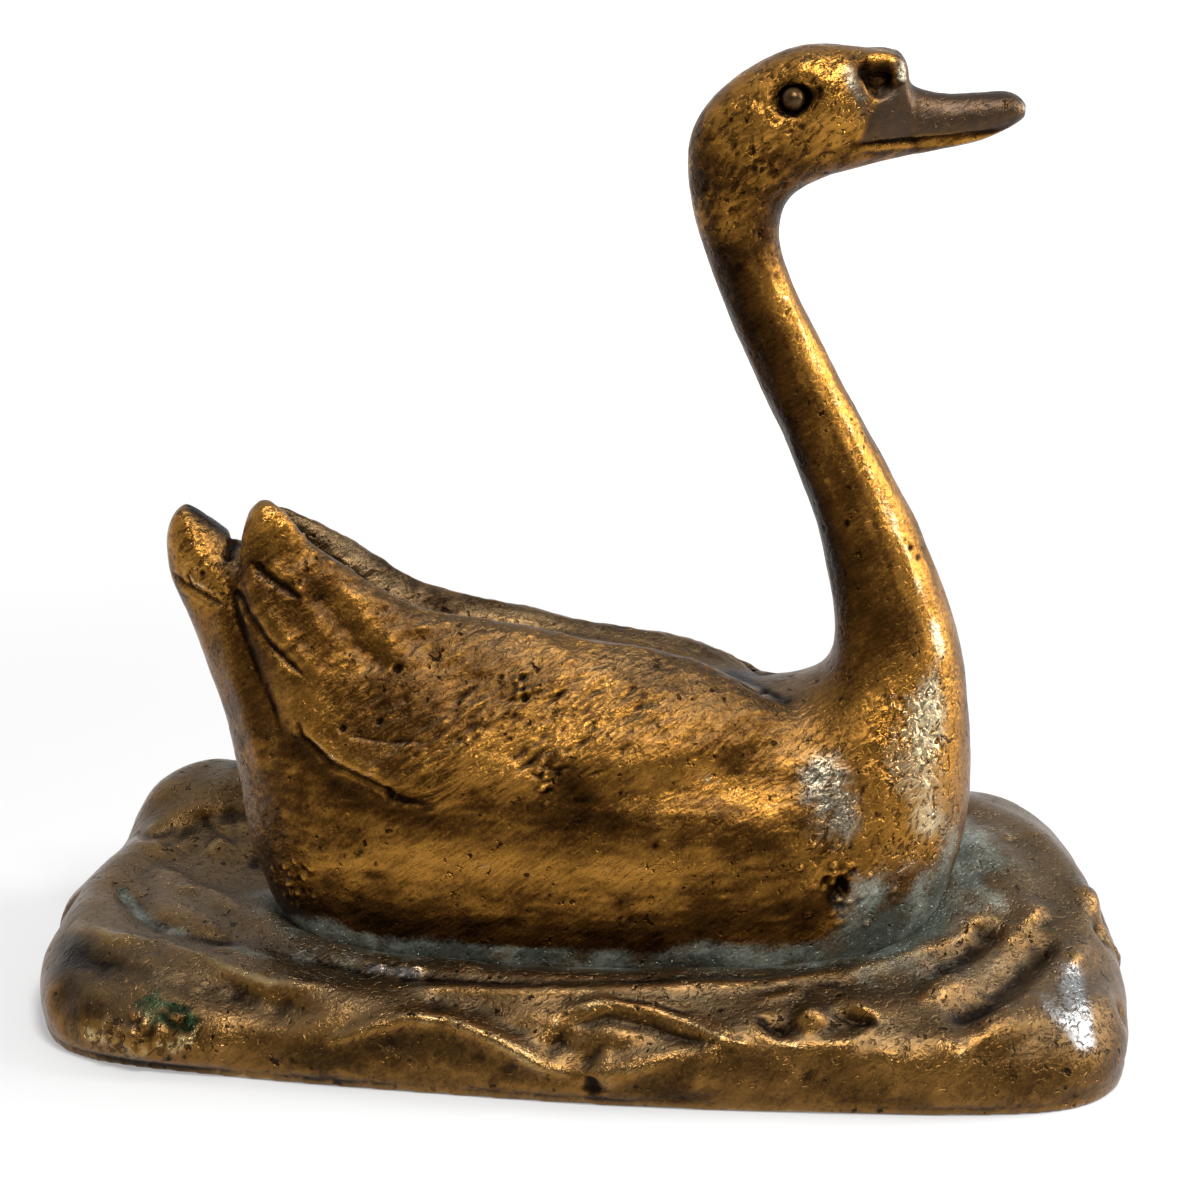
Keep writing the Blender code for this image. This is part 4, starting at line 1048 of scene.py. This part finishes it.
# The base: water around the swan, with swells, curls and thumbed grooves
baseSet = {
    "voxel": 0.81 * mm * coarse,
    "swell": 0.25 * mm,
    "facetRounds": round(50 / coarse ** 2),
    "hollowReach": (0.1065, 0.047),   # half length and depth of the ring that parts outside and hollow
    "lumps": [(30, 0.9), (13, 0.5), (5.5, 0.13), (2.4, 0.05), (1.5, 0.04)],
    "clouds": [(22, 0.26), (8, 0.14), (3.5, 0.10)],
    "pits": (300, 0.5 * mm, 1.0 * mm, 0.4 * mm),
    "underside": 0.10,   # share of the underside's faces that is kept
    "meniscus": {"lowest": 18.4 * mm, "search": 20 * mm, "inwards": 0.9 * mm, "near": 0.9 * mm,
                 "climb": 1.0 * mm, "reach": 1.8 * mm},
    "marks": [
        ([(320, 1046), (365, 1030), (403, 1019), (446, 1019), (481, 1033), (530, 1058),
          (574, 1080)], 2.3, 1.9),
        ([(410, 998), (480, 1010), (540, 1038), (578, 1060)], 4.0, -1.5),
        ([(360, 1050), (430, 1042), (490, 1062), (540, 1084)], 3.6, -1.1),
        ([(548, 1032), (575, 1045), (600, 1066)], 4.8, -1.87),
        ([(556, 1012), (606, 1004), (660, 1013), (714, 1033), (756, 1048)], 2.0, 1.5),
        ([(566, 1024), (606, 1018), (656, 1027), (706, 1043)], 1.5, -1.0),
        ([(590, 1052), (650, 1042), (718, 1046)], 4.6, -1.3),
        ([(577, 1088), (625, 1070), (675, 1055), (732, 1048)], 2.6, 1.3),
        ([(593, 1076), (592, 1094)], 2.1, -1.49),
        ([(610, 1000), (650, 1005), (690, 1016)], 0.7, -0.7),
        ([(700, 1022), (724, 1036), (748, 1040)], 0.7, -0.6),
        ([(755, 1016), (768, 1026), (788, 1033)], 1.0, -1.5),
        ([(828, 1008), (852, 1013), (878, 1024)], 1.1, -1.2),
        ([(760, 1022), (785, 1024), (815, 1024), (845, 1020), (872, 1024)], 3.4, -2.2),
        ([(748, 1008), (790, 997), (836, 996), (884, 1014)], 1.7, 0.9),
        ([(768, 1040), (810, 1046), (860, 1040)], 2.0, 0.7),
        ([(930, 985), (965, 958), (1002, 922)], 4.0, -2.7),
        ([(945, 1026), (998, 984), (1060, 936)], 4.2, -3.0),
        ([(915, 1004), (985, 958), (1050, 908)], 3.4, 2.2),
        ([(965, 1046), (1030, 1000), (1092, 940)], 4.2, 2.3),
        ([(112, 880), (128, 900), (153, 922), (190, 930), (250, 945)], 3.2, -2.0),
        ([(150, 870), (190, 892), (240, 915)], 3.8, 1.9),
        ([(76, 926), (120, 938), (167, 950), (221, 968), (270, 984), (346, 984)], 2.4, 1.2),
        ([(66, 950), (110, 962), (160, 974), (220, 990), (290, 1008), (330, 1012)], 4.6, -2.0),
        ([(76, 1032), (150, 1044), (250, 1046)], 4.4, 1.1),
        ([(126, 834), (150, 832), (178, 824), (212, 819), (250, 812)], 2.8, -1.9),
        ([(160, 850), (178, 838), (199, 820)], 1.6, -0.9),
        ([(140, 850), (190, 846), (236, 850)], 4.0, 0.9),
        ([(346, 980), (400, 988), (520, 990), (640, 988), (760, 984), (850, 974), (960, 934),
          (1000, 892)], 1.7, 0.85),
        ([(210, 936), (300, 960), (400, 977), (520, 980), (640, 978), (760, 973), (850, 960),
          (945, 922)], 1.7, -0.65),
        ([(860, 1060), (930, 1040), (985, 1060)], 4.6, 0.94),
        ([(790, 1075), (850, 1085), (900, 1078)], 4.6, -0.75),
    ],
    "bumps": [   # pixels, radius and height in mm
        (809, 1020, 2.9, 4.2), (1030, 912, 3.6, 1.7), (1090, 898, 4.0, 2.0), (1120, 966, 4.4, 2.2),
        (1104, 932, 3.0, -2.6), (1128, 1010, 3.0, -1.6), (470, 962, 2.2, 0.6), (130, 1040, 4.0, 0.8),
        (62, 1000, 4.0, -1.2), (700, 1082, 5.0, 0.8), (230, 800, 5.0, -1.5), (168, 792, 5.0, 1.2),
    ],
    # Freely drawn marks: number, place and length in m or in pixels, width and depth in mm
    "swells": {"count": 24, "ring": (0.104, 0.056), "angle": (0.15, 2.95), "reach": (0.72, 0.98),
               "length": (0.008, 0.02), "width": (2.0, 4.0), "depth": [-1.6, -1.2, 1.0, 1.5]},
    "wallMarks": {"count": 18, "ring": (0.125, 0.068), "angle": (-0.1, 3.24), "height": (0.009, 0.02),
                  "slope": (-0.4, 0.4), "length": (0.008, 0.022), "width": (4.0, 6.5),
                  "depth": [-1.1, -0.8, 0.8, 1.1]},
    "scribbles": {"count": 52, "across": (108, 196), "down": (1014, 1050), "half": (3, 9), "bend": 3,
                  "width": 0.75, "depth": 0.5},
    "flake": {"count": 18, "across": (366, 420), "down": (962, 976), "width": (0.8, 1.4),
              "depth": [-0.5, 0.6, 0.9]},
    "nicks": {"count": 100, "across": (60, 1110), "down": (940, 1095), "slope": (-0.6, 0.6),
              "length": (8, 38), "width": (0.6, 1.0), "depth": (-0.25, 0.12)},
    # plus is gold, minus is dark; the gold lines along the crests are worn edges with painted highlight, the
    # dark lines in the grooves and under the ledge painted shade
    "tones": [
        ([(66, 950), (80, 1005)], 5.0, -0.75), ([(80, 954), (160, 974), (250, 998)], 3.6, -0.5),
        ([(76, 926), (167, 950), (221, 966), (270, 982)], 1.8, 0.5),
        ([(92, 1030), (145, 1046), (190, 1036)], 2.6, 1.3),
        ([(290, 1030), (380, 1010), (460, 1025)], 2.6, 0.45),
        ([(560, 1018), (620, 1003), (680, 1009), (748, 1046)], 1.8, 0.4),
        ([(610, 1001), (690, 1017)], 1.2, -0.8), ([(757, 1018), (786, 1032)], 1.6, -1.0),
        ([(830, 1009), (876, 1023)], 1.6, -0.9), ([(500, 1085), (593, 1095), (700, 1095)], 3.5, -0.3),
        ([(420, 1072), (560, 1088), (700, 1082)], 6.0, 0.25), ([(300, 1060), (420, 1062)], 4.0, -0.3),
        ([(970, 1022), (1015, 992), (1060, 952)], 2.6, -0.4), ([(880, 1060), (990, 1070)], 5.0, 0.35),
        ([(780, 1045), (800, 1055)], 4.0, 0.3), ([(590, 1078), (594, 1096)], 1.5, -0.9),
        ([(200, 1000), (280, 1010)], 4.0, 0.2),
        ([(210, 934), (400, 978), (640, 980), (850, 962)], 1.5, -0.5),
    ],
    # painted reflection of a bright window on the base's right corner, on the first line; silvery flakes and
    # nodules after it
    "silverAndGlint": [
        ([(1068, 976), (1080, 1008), (1084, 1036)], 3.6, 0.7), ([(1042, 1000), (1062, 1018)], 2.6, 0.4),
        ([(370, 966), (416, 972)], 2.0, 0.42), ([(806, 1020), (811, 1023)], 1.6, 0.3),
        ([(1033, 905), (1038, 909)], 1.6, 0.3), ([(440, 962), (520, 972)], 1.6, 0.2),
    ],
    "moss": [
        ([(150, 1006), (182, 1014), (190, 1034)], 3.0, 0.95), ([(225, 758), (240, 762)], 4.0, 0.5),
        ([(660, 998), (700, 1000)], 2.0, 0.3),
    ],
    "verdigris": [
        ([(122, 890), (140, 914), (165, 926), (210, 938), (262, 956)], 2.2, 0.65),
        ([(212, 776), (240, 764)], 6, 0.35),
    ],
    "chased": [([(95, 1036), (145, 1046), (188, 1030)], 3.5, 0.9), ([(1064, 985), (1084, 1050)], 5, 0.4)],
    "finish": {
        "grain": 0.85,
        "metallic": 0.97,
        "bump": 0.8,
        "bumpDepth": 0.0007,
        # the bright end is the bluish white of the painted window reflection and of the flakes
        "silverAndGlint": [(0.16, 0.17, 0.175, 1), (0.62, 0.65, 0.67, 1)],
        "moss": {"Teal": (0.012, 0.02, 0.008, 1), "Powder": (0.07, 0.1, 0.05, 1)},
        # the grey colours the painted reflection on upward faces
        "colours": {
            "Dark": (0.011, 0.006, 0.003, 1), "Brown": (0.045, 0.022, 0.006, 1),
            "Gold": (0.21, 0.103, 0.024, 1), "Pale": (0.6, 0.44, 0.2, 1), "ReflectedGrey": (0.11, 0.08, 0.045, 1),
        },
    },
}
plugs = [nodeMesh(name, baseSet["swell"]) for name in ("left_base_plug", "right_base_plug")]
points, quads = voxelSkin(*joinMeshes([(basePoints, baseFaces)] + plugs), baseSet["voxel"])
edges = quadEdges(quads, len(points))
print("base skin:", len(points), "points")
normals = vertexNormals(points, quads)
halfLength, halfDepth = baseSet["hollowReach"]
outside = ease(np.hypot(points[:, 0] / halfLength, points[:, 1] / halfDepth), 0.96, 1.06)
upper = ease(normals[:, 2], -0.05, 0.25) * ease(points[:, 2], 15 * mm, 17 * mm)
fromTop = np.clip(np.maximum(upper, outside * (points[:, 2] < 30 * mm)), 0, 1)
fromTop = np.clip(spread(fromTop, edges, 4), 0, 1)
shown = fromTop * ease(points[:, 2], 0.4 * mm, 4.0 * mm)   # nothing is carved on underside and rim
footing = points[:, 2].copy()
points = spread(points, edges, baseSet["facetRounds"], 0.6 * fromTop)
points[:, 2] = np.where(footing < 1.2 * mm, footing, points[:, 2])
normals = vertexNormals(points, quads)


def baseLine(start, way):
    legs = [Vector(start + way * part / 3) for part in range(4)]
    return [np.array(baseTree.find_nearest(leg)[0]) for leg in legs]


lift = mm * layers(points, baseSet["lumps"], 81)
for pixels, width, depth in baseSet["marks"]:
    carve(lift, points, pixelLine(pixels), width * mm, depth * mm, broken=0.12)
for across, down, radius, height in baseSet["bumps"]:
    carve(lift, points, dab(across, down), radius * mm, height * mm, broken=0.0)
form = baseSet["swells"]   # and thumbed grooves on the back, where the photo doesn't reach
for turn in range(form["count"]):
    angle = chance.uniform(*form["angle"])
    reach = chance.uniform(*form["reach"])
    long, deep = form["ring"]
    start = np.array([long * math.cos(angle) * reach, deep * math.sin(angle) * reach, 0.03])
    way = np.array([-math.sin(angle) * 0.9, math.cos(angle) * 0.5, 0.0]) * chance.uniform(*form["length"])
    width = chance.uniform(*form["width"]) * mm
    carve(lift, points, baseLine(start, way), width, chance.choice(form["depth"]) * mm)
form = baseSet["wallMarks"]   # on the walls at the back and at both ends
for turn in range(form["count"]):
    angle = chance.uniform(*form["angle"])
    long, deep = form["ring"]
    start = np.array([long * math.cos(angle), deep * math.sin(angle), chance.uniform(*form["height"])])
    way = np.array([-math.sin(angle), math.cos(angle) * 0.5, chance.uniform(*form["slope"])])
    way = way * chance.uniform(*form["length"])
    width = chance.uniform(*form["width"]) * mm
    carve(lift, points, baseLine(start, way), width, chance.choice(form["depth"]) * mm, broken=0.0)
form = baseSet["scribbles"]   # worn metal between the moss
scribbles = []
for turn in range(form["count"]):
    middle = np.array([chance.uniform(*form["across"]), chance.uniform(*form["down"])])
    angle = chance.uniform(0, math.pi)
    half = np.array([math.cos(angle), 0.6 * math.sin(angle)]) * chance.uniform(*form["half"])
    bend = chance.uniform(-form["bend"], form["bend"], 2)
    scribbles.append(pixelLine([middle - half, middle + bend, middle + half], 4.0))
    carve(lift, points, scribbles[-1], form["width"] * mm, form["depth"] * mm, broken=0.0)
form = baseSet["flake"]   # a loose flake of crust in the front trough
for turn in range(form["count"]):
    knob = dab(chance.uniform(*form["across"]), chance.uniform(*form["down"]))
    width = chance.uniform(*form["width"]) * mm
    carve(lift, points, knob, width, chance.choice(form["depth"]) * mm, broken=0.0)
form = baseSet["nicks"]
for turn in range(form["count"]):
    start = np.array([chance.uniform(*form["across"]), chance.uniform(*form["down"])])
    way = np.array([1.0, chance.uniform(*form["slope"])]) * chance.uniform(*form["length"])
    line = pixelLine([start, start + way], 9.0)
    if len(line) > 1:
        width = chance.uniform(*form["width"]) * mm
        carve(lift, points, line, width, chance.uniform(*form["depth"]) * mm, broken=0.5)
sprinklePits(lift, points, *baseSet["pits"])
points = points + normals * (lift * shown)[:, None]

# The water climbs the swan a little and closes the joint around it
meniscus = baseSet["meniscus"]
toBird = np.full(len(points), 1.0)
for index in np.flatnonzero((points[:, 2] > meniscus["lowest"]) & (shown > 0.2)):
    hit = birdTree.find_nearest(points[index].tolist(), meniscus["search"])
    if hit[0] is None:
        continue
    away = hit[3]
    toBird[index] = away
    towards = np.array(hit[0]) - points[index]
    towards[2] = 0.0
    towards /= max(np.linalg.norm(towards), 1e-9)
    points[index] += towards * meniscus["inwards"] * math.exp(-(away / meniscus["near"]) ** 2)
    points[index, 2] += meniscus["climb"] * math.exp(-away / meniscus["reach"])
points = np.clip(points, boxLow, boxHigh)
normals = vertexNormals(points, quads)
print("base sculpted")

tone = paint(np.zeros(len(points)), points, baseSet["tones"])
for line in scribbles:
    tint(tone, points, line, 0.7 * mm, 1.0)
tone += layers(points, baseSet["clouds"], 96)
silverAndGlint = paint(np.zeros(len(points)), points, baseSet["silverAndGlint"])
moss = paint(np.zeros(len(points)), points, baseSet["moss"])
chased = paint(np.full(len(points), 0.25), points, baseSet["chased"])
hollow, worn = relief(points, normals, edges, 1.3)
toBreast = ease(points[:, 0], *zones["breast"])
bandWidth = (6.0 * mm + 5.0 * mm * toBreast) * (1 + 0.6 * noise(points, 10 * mm, 90))
verdigris = paint(np.exp(-toBird / bandWidth) * (0.72 + 0.25 * toBreast), points, baseSet["verdigris"])
verdigris = np.clip(verdigris * (0.95 + 0.45 * noise(points, 5 * mm, 91)), 0, 1)
baseMasks = {
    "chased": np.clip(chased, 0, 1),
    "hollow": hollow,
    "worn": worn,
    "tone": np.clip(tone, -1.2, 1.2),
    # painted reflection: the base's upward faces mix in the grey of the room overhead
    "sky": 0.9 * ease(normals[:, 2], 0.3, 0.9),
    "silverAndGlint": np.clip(silverAndGlint, 0, 1),
    "verdigris": verdigris,
    "moss": np.clip(moss * (1 + 1.2 * noise(points, 2 * mm, 93)), 0, 1),
}
crustBeds.append((points, quads, verdigris * (shown > 0.5)))
baseBronze = bronzeMaterial("baseBronze", baseSet["finish"], baseMasks)
base = addPiece("waterBase", plainMesh("waterBase", points, quads, [], baseMasks), baseBronze)
under = base.vertex_groups.new(name="underside")
under.add(np.flatnonzero(spread(shown, edges, 2) < 0.02).tolist(), 1.0, "REPLACE")
hidden = np.count_nonzero(shown < 0.02) / len(points)
thin = base.modifiers.new("thin", "DECIMATE")
thin.ratio = 1 - hidden * (1 - baseSet["underside"])
thin.vertex_group = "underside"
thinned = evaluatedMesh(base)
base.modifiers.remove(thin)
base.data = thinned
print("waterBase", len(thinned.polygons), "faces")
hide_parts("water_base", "left_base_plug", "right_base_plug")
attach(base, "root")

# Eyes: polished beads in their sockets
eyeSet = {
    "size": 0.86,   # share of the CAD bead
    "sunk": 0.6 * mm,
    "finish": {
        "grain": 1.6,
        "metallic": 0.9,
        "bump": 0.15,
        "bumpDepth": 0.0002,
        "colours": {
            "Dark": (0.008, 0.004, 0.002, 1), "Brown": (0.022, 0.011, 0.005, 1),
            "Gold": (0.14, 0.075, 0.025, 1), "Pale": (0.3, 0.19, 0.08, 1), "ReflectedGrey": (0.08, 0.055, 0.03, 1),
        },
    },
}
eyeBronze = bronzeMaterial("eyeBronze", eyeSet["finish"], [])
for side, middle in eyeMiddles.items():
    low, high = (np.array(corner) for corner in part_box(side + "_eye"))
    radius = eyeSet["size"] * (high - low)[[0, 2]].max() / 2
    depth = radius + eyeSet["sunk"]
    place = Vector(middle)
    place.y = low[1] + depth if side == "right" else high[1] - depth
    shape = bmesh.new()
    bmesh.ops.create_uvsphere(shape, u_segments=40, v_segments=24, radius=radius)
    bmesh.ops.translate(shape, verts=shape.verts, vec=place)
    mesh = bpy.data.meshes.new(side + "Eye")
    shape.to_mesh(mesh)
    shape.free()
    mesh.shade_smooth()
    bead = addPiece(side + "Eye", mesh, eyeBronze)
    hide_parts(side + "_eye")
    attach(bead, "root")
print("eyes set")

# Crust: grains of verdigris along the waterline, scattered by Geometry Nodes
crustSet = {
    "grains": {"Density": 90000.0, "Small": 0.07 * mm, "Large": 0.24 * mm, "Seed": 5},
    "level": 0.62,   # how far corroded the ground is that has grains
    "lowest": 20 * mm,
    "finish": {
        "grain": 2.0,
        "metallic": 0.35,
        "bump": 0.2,
        "bumpDepth": 0.0002,
        "colours": {
            "Dark": (0.04, 0.04, 0.03, 1), "Brown": (0.12, 0.12, 0.09, 1), "Gold": (0.5, 0.5, 0.42, 1),
            "Pale": (0.55, 0.55, 0.45, 1), "ReflectedGrey": (0.2, 0.2, 0.16, 1),
        },
    },
}
crustGrains = bronzeMaterial("crustGrains", crustSet["finish"], [])


def grainTree():
    tree = bpy.data.node_groups.new("scatterGrains", "GeometryNodeTree")
    kinds = {"Geometry": "Geometry", "Density": "Float", "Small": "Float", "Large": "Float", "Seed": "Int",
             "Material": "Material"}
    sockets = {}
    for label, kind in kinds.items():
        made = tree.interface.new_socket(name=label, in_out="INPUT", socket_type="NodeSocket" + kind)
        sockets[label] = made.identifier
    tree.interface.new_socket(name="Geometry", in_out="OUTPUT", socket_type="NodeSocketGeometry")
    given = addNode(tree, "NodeGroupInput").outputs
    result = addNode(tree, "NodeGroupOutput")
    scatter = addNode(tree, "GeometryNodeDistributePointsOnFaces")
    grain = addNode(tree, "GeometryNodeMeshIcoSphere")
    size = addNode(tree, "FunctionNodeRandomValue", data_type="FLOAT")
    turn = addNode(tree, "FunctionNodeRandomValue", data_type="FLOAT_VECTOR")
    place = addNode(tree, "GeometryNodeInstanceOnPoints")
    solid = addNode(tree, "GeometryNodeRealizeInstances")
    paintOn = addNode(tree, "GeometryNodeSetMaterial")
    grain.inputs["Radius"].default_value = 1.0
    grain.inputs["Subdivisions"].default_value = 1
    turn.inputs[1].default_value = (6.28, 6.28, 6.28)
    for start, end in (
        (given["Geometry"], scatter.inputs["Mesh"]),
        (given["Density"], scatter.inputs["Density"]),
        (given["Seed"], scatter.inputs["Seed"]),
        (given["Small"], size.inputs[2]),
        (given["Large"], size.inputs[3]),
        (given["Seed"], size.inputs["Seed"]),
        (given["Seed"], turn.inputs["Seed"]),
        (scatter.outputs["Points"], place.inputs["Points"]),
        (grain.outputs["Mesh"], place.inputs["Instance"]),
        (turn.outputs[0], place.inputs["Rotation"]),
        (size.outputs[1], place.inputs["Scale"]),
        (place.outputs["Instances"], solid.inputs["Geometry"]),
        (solid.outputs["Geometry"], paintOn.inputs["Geometry"]),
        (given["Material"], paintOn.inputs["Material"]),
        (paintOn.outputs["Geometry"], result.inputs["Geometry"]),
    ):
        tree.links.new(start, end)
    return tree, sockets


bedPoints = []
bedQuads = []
start = 0
for skinPoints, skinQuads, mask in crustBeds:
    ripe = mask + 0.5 * noise(skinPoints, 2.2 * mm, 95) > crustSet["level"]
    high = skinPoints[skinQuads[:, 0], 2] > crustSet["lowest"]
    used, numbered = np.unique(skinQuads[ripe[skinQuads].all(axis=1) & high], return_inverse=True)
    bedPoints.append(skinPoints[used])
    bedQuads.append(numbered.reshape(-1, 4) + start)
    start += len(used)
bed = plainMesh("waterlineCrust", np.concatenate(bedPoints), np.concatenate(bedQuads), [], {})
crust = addPiece("waterlineCrust", bed, crustGrains)
scatterTree, sockets = grainTree()
scatter = crust.modifiers.new("scatterGrains", "NODES")
scatter.node_group = scatterTree
for label, value in dict(crustSet["grains"], Material=crustGrains).items():
    scatter[sockets[label]] = value
grains = evaluatedMesh(crust)
crust.modifiers.remove(scatter)
crust.data = grains
print("crust:", len(grains.polygons), "faces")
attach(crust, "root")

# Studs, washers and nuts under the base stay as they are, in dull brass
fixingFinish = {
    "grain": 1.4,
    "metallic": 0.95,
    "bump": 0.2,
    "bumpDepth": 0.0002,
    "colours": {
        "Dark": (0.06, 0.04, 0.015, 1), "Brown": (0.22, 0.14, 0.04, 1), "Gold": (0.5, 0.34, 0.11, 1),
        "Pale": (0.7, 0.52, 0.22, 1), "ReflectedGrey": (0.3, 0.25, 0.16, 1),
    },
}
fixingBrass = bronzeMaterial("fixingBrass", fixingFinish, [])
for name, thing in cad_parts.items():
    if "_stud" in name:
        for materialSlot in thing.material_slots:
            materialSlot.material = fixingBrass
print("fixings dressed")

# Lights, room, floor and camera
studio = {
    "key": {"place": (0.25, -0.65, 1.1), "size": (0.32, 0.26), "power": 16.0},
    "side": {"place": (0.98, 0.12, 0.5), "size": (0.45, 0.7), "power": 12.0},
    "lit": (0.0, 0.0, 0.09),   # where both lights aim
    "room": (-0.85, 0.4, 0.04, 0.85),   # from the dark room ahead to the bright wall behind and above
    "fill": 0.75,   # light from all round on what isn't seen or mirrored
    "floor": 0.42,
    "floorGlow": (0.2, 0.8, 0.28, 0.8),   # distances and strengths: white further out, shadow kept near
    "floorReach": 6.0,
    "floorLevel": -0.1 * mm,
}
for name in ("key", "side"):
    lamp = bpy.data.lights.new(name, "AREA")
    lamp.shape = "RECTANGLE"
    lamp.size, lamp.size_y = studio[name]["size"]
    lamp.energy = studio[name]["power"]
    holder = bpy.data.objects.new(name, lamp)
    holder.location = studio[name]["place"]
    holder.rotation_euler = (Vector(studio["lit"]) - holder.location).to_track_quat("-Z", "Y").to_euler()
    bpy.context.scene.collection.objects.link(holder)


def seenRays(tree, path):
    seen = reckon(tree, "ADD", path["Is Camera Ray"], path["Is Glossy Ray"])
    return reckon(tree, "ADD", seen, path["Is Transmission Ray"], clamp=True)


world = bpy.data.worlds.new("studio")
bpy.context.scene.world = world
world.use_nodes = True
roomTree = world.node_tree
path = addNode(roomTree, "ShaderNodeLightPath").outputs
ahead = addNode(roomTree, "ShaderNodeSeparateXYZ")
roomTree.links.new(addNode(roomTree, "ShaderNodeTexCoord").outputs["Generated"], ahead.inputs[0])
room = rampValue(roomTree, addShare(roomTree, ahead.outputs["Y"], ahead.outputs["Z"], 0.9), *studio["room"])
seen = seenRays(roomTree, path)
plain = reckon(roomTree, "MULTIPLY", reckon(roomTree, "SUBTRACT", 1.0, seen), studio["fill"])
strength = reckon(roomTree, "MULTIPLY_ADD", room, seen, plain)
strength = reckon(roomTree, "MAXIMUM", strength, path["Is Camera Ray"])
background = roomTree.nodes["Background"].inputs
background["Color"].default_value = (1.0, 1.0, 1.0, 1.0)
feed(roomTree, background["Strength"], strength)

floorMaterial = bpy.data.materials.new("paleFloor")
floorMaterial.use_nodes = True
floorTree = floorMaterial.node_tree
floorTree.nodes.remove(floorTree.nodes["Principled BSDF"])
matt = addNode(floorTree, "ShaderNodeBsdfDiffuse")
matt.inputs["Color"].default_value = (studio["floor"], studio["floor"], studio["floor"], 1.0)
glow = addNode(floorTree, "ShaderNodeEmission")
fromMiddle = addNode(floorTree, "ShaderNodeVectorMath", operation="LENGTH")
floorTree.links.new(addNode(floorTree, "ShaderNodeTexCoord").outputs["Object"], fromMiddle.inputs[0])
fill = rampValue(floorTree, fromMiddle.outputs["Value"], *studio["floorGlow"])
seen = seenRays(floorTree, addNode(floorTree, "ShaderNodeLightPath").outputs)
feed(floorTree, glow.inputs["Strength"], reckon(floorTree, "MULTIPLY", seen, fill))
both = addNode(floorTree, "ShaderNodeAddShader")
oneSided = addNode(floorTree, "ShaderNodeMixShader")   # clear from below, so the underside can be seen
for start, end in (
    (matt.outputs[0], both.inputs[0]),
    (glow.outputs[0], both.inputs[1]),
    (addNode(floorTree, "ShaderNodeNewGeometry").outputs["Backfacing"], oneSided.inputs[0]),
    (both.outputs[0], oneSided.inputs[1]),
    (addNode(floorTree, "ShaderNodeBsdfTransparent").outputs[0], oneSided.inputs[2]),
    (oneSided.outputs[0], floorTree.nodes["Material Output"].inputs["Surface"]),
):
    floorTree.links.new(start, end)
corners = [(x * studio["floorReach"], y * studio["floorReach"], studio["floorLevel"])
           for x, y in ((-1, -1), (1, -1), (1, 1), (-1, 1))]
floorMesh = bpy.data.meshes.new("floor")
floorMesh.from_pydata(corners, [], [(0, 1, 2, 3)])
floor = addPiece("floor", floorMesh, floorMaterial)

cameraData = bpy.data.cameras.new("camera")
cameraData.lens = viewing["lens"]
cameraData.sensor_width = viewing["sensor"]
camera = bpy.data.objects.new("camera", cameraData)
camera.location = viewPlace
camera.rotation_euler = viewAhead.to_track_quat("-Z", "Y").to_euler()
bpy.context.scene.collection.objects.link(camera)
bpy.context.scene.camera = camera
bpy.context.scene.view_settings.view_transform = "Standard"

print("scene ready")
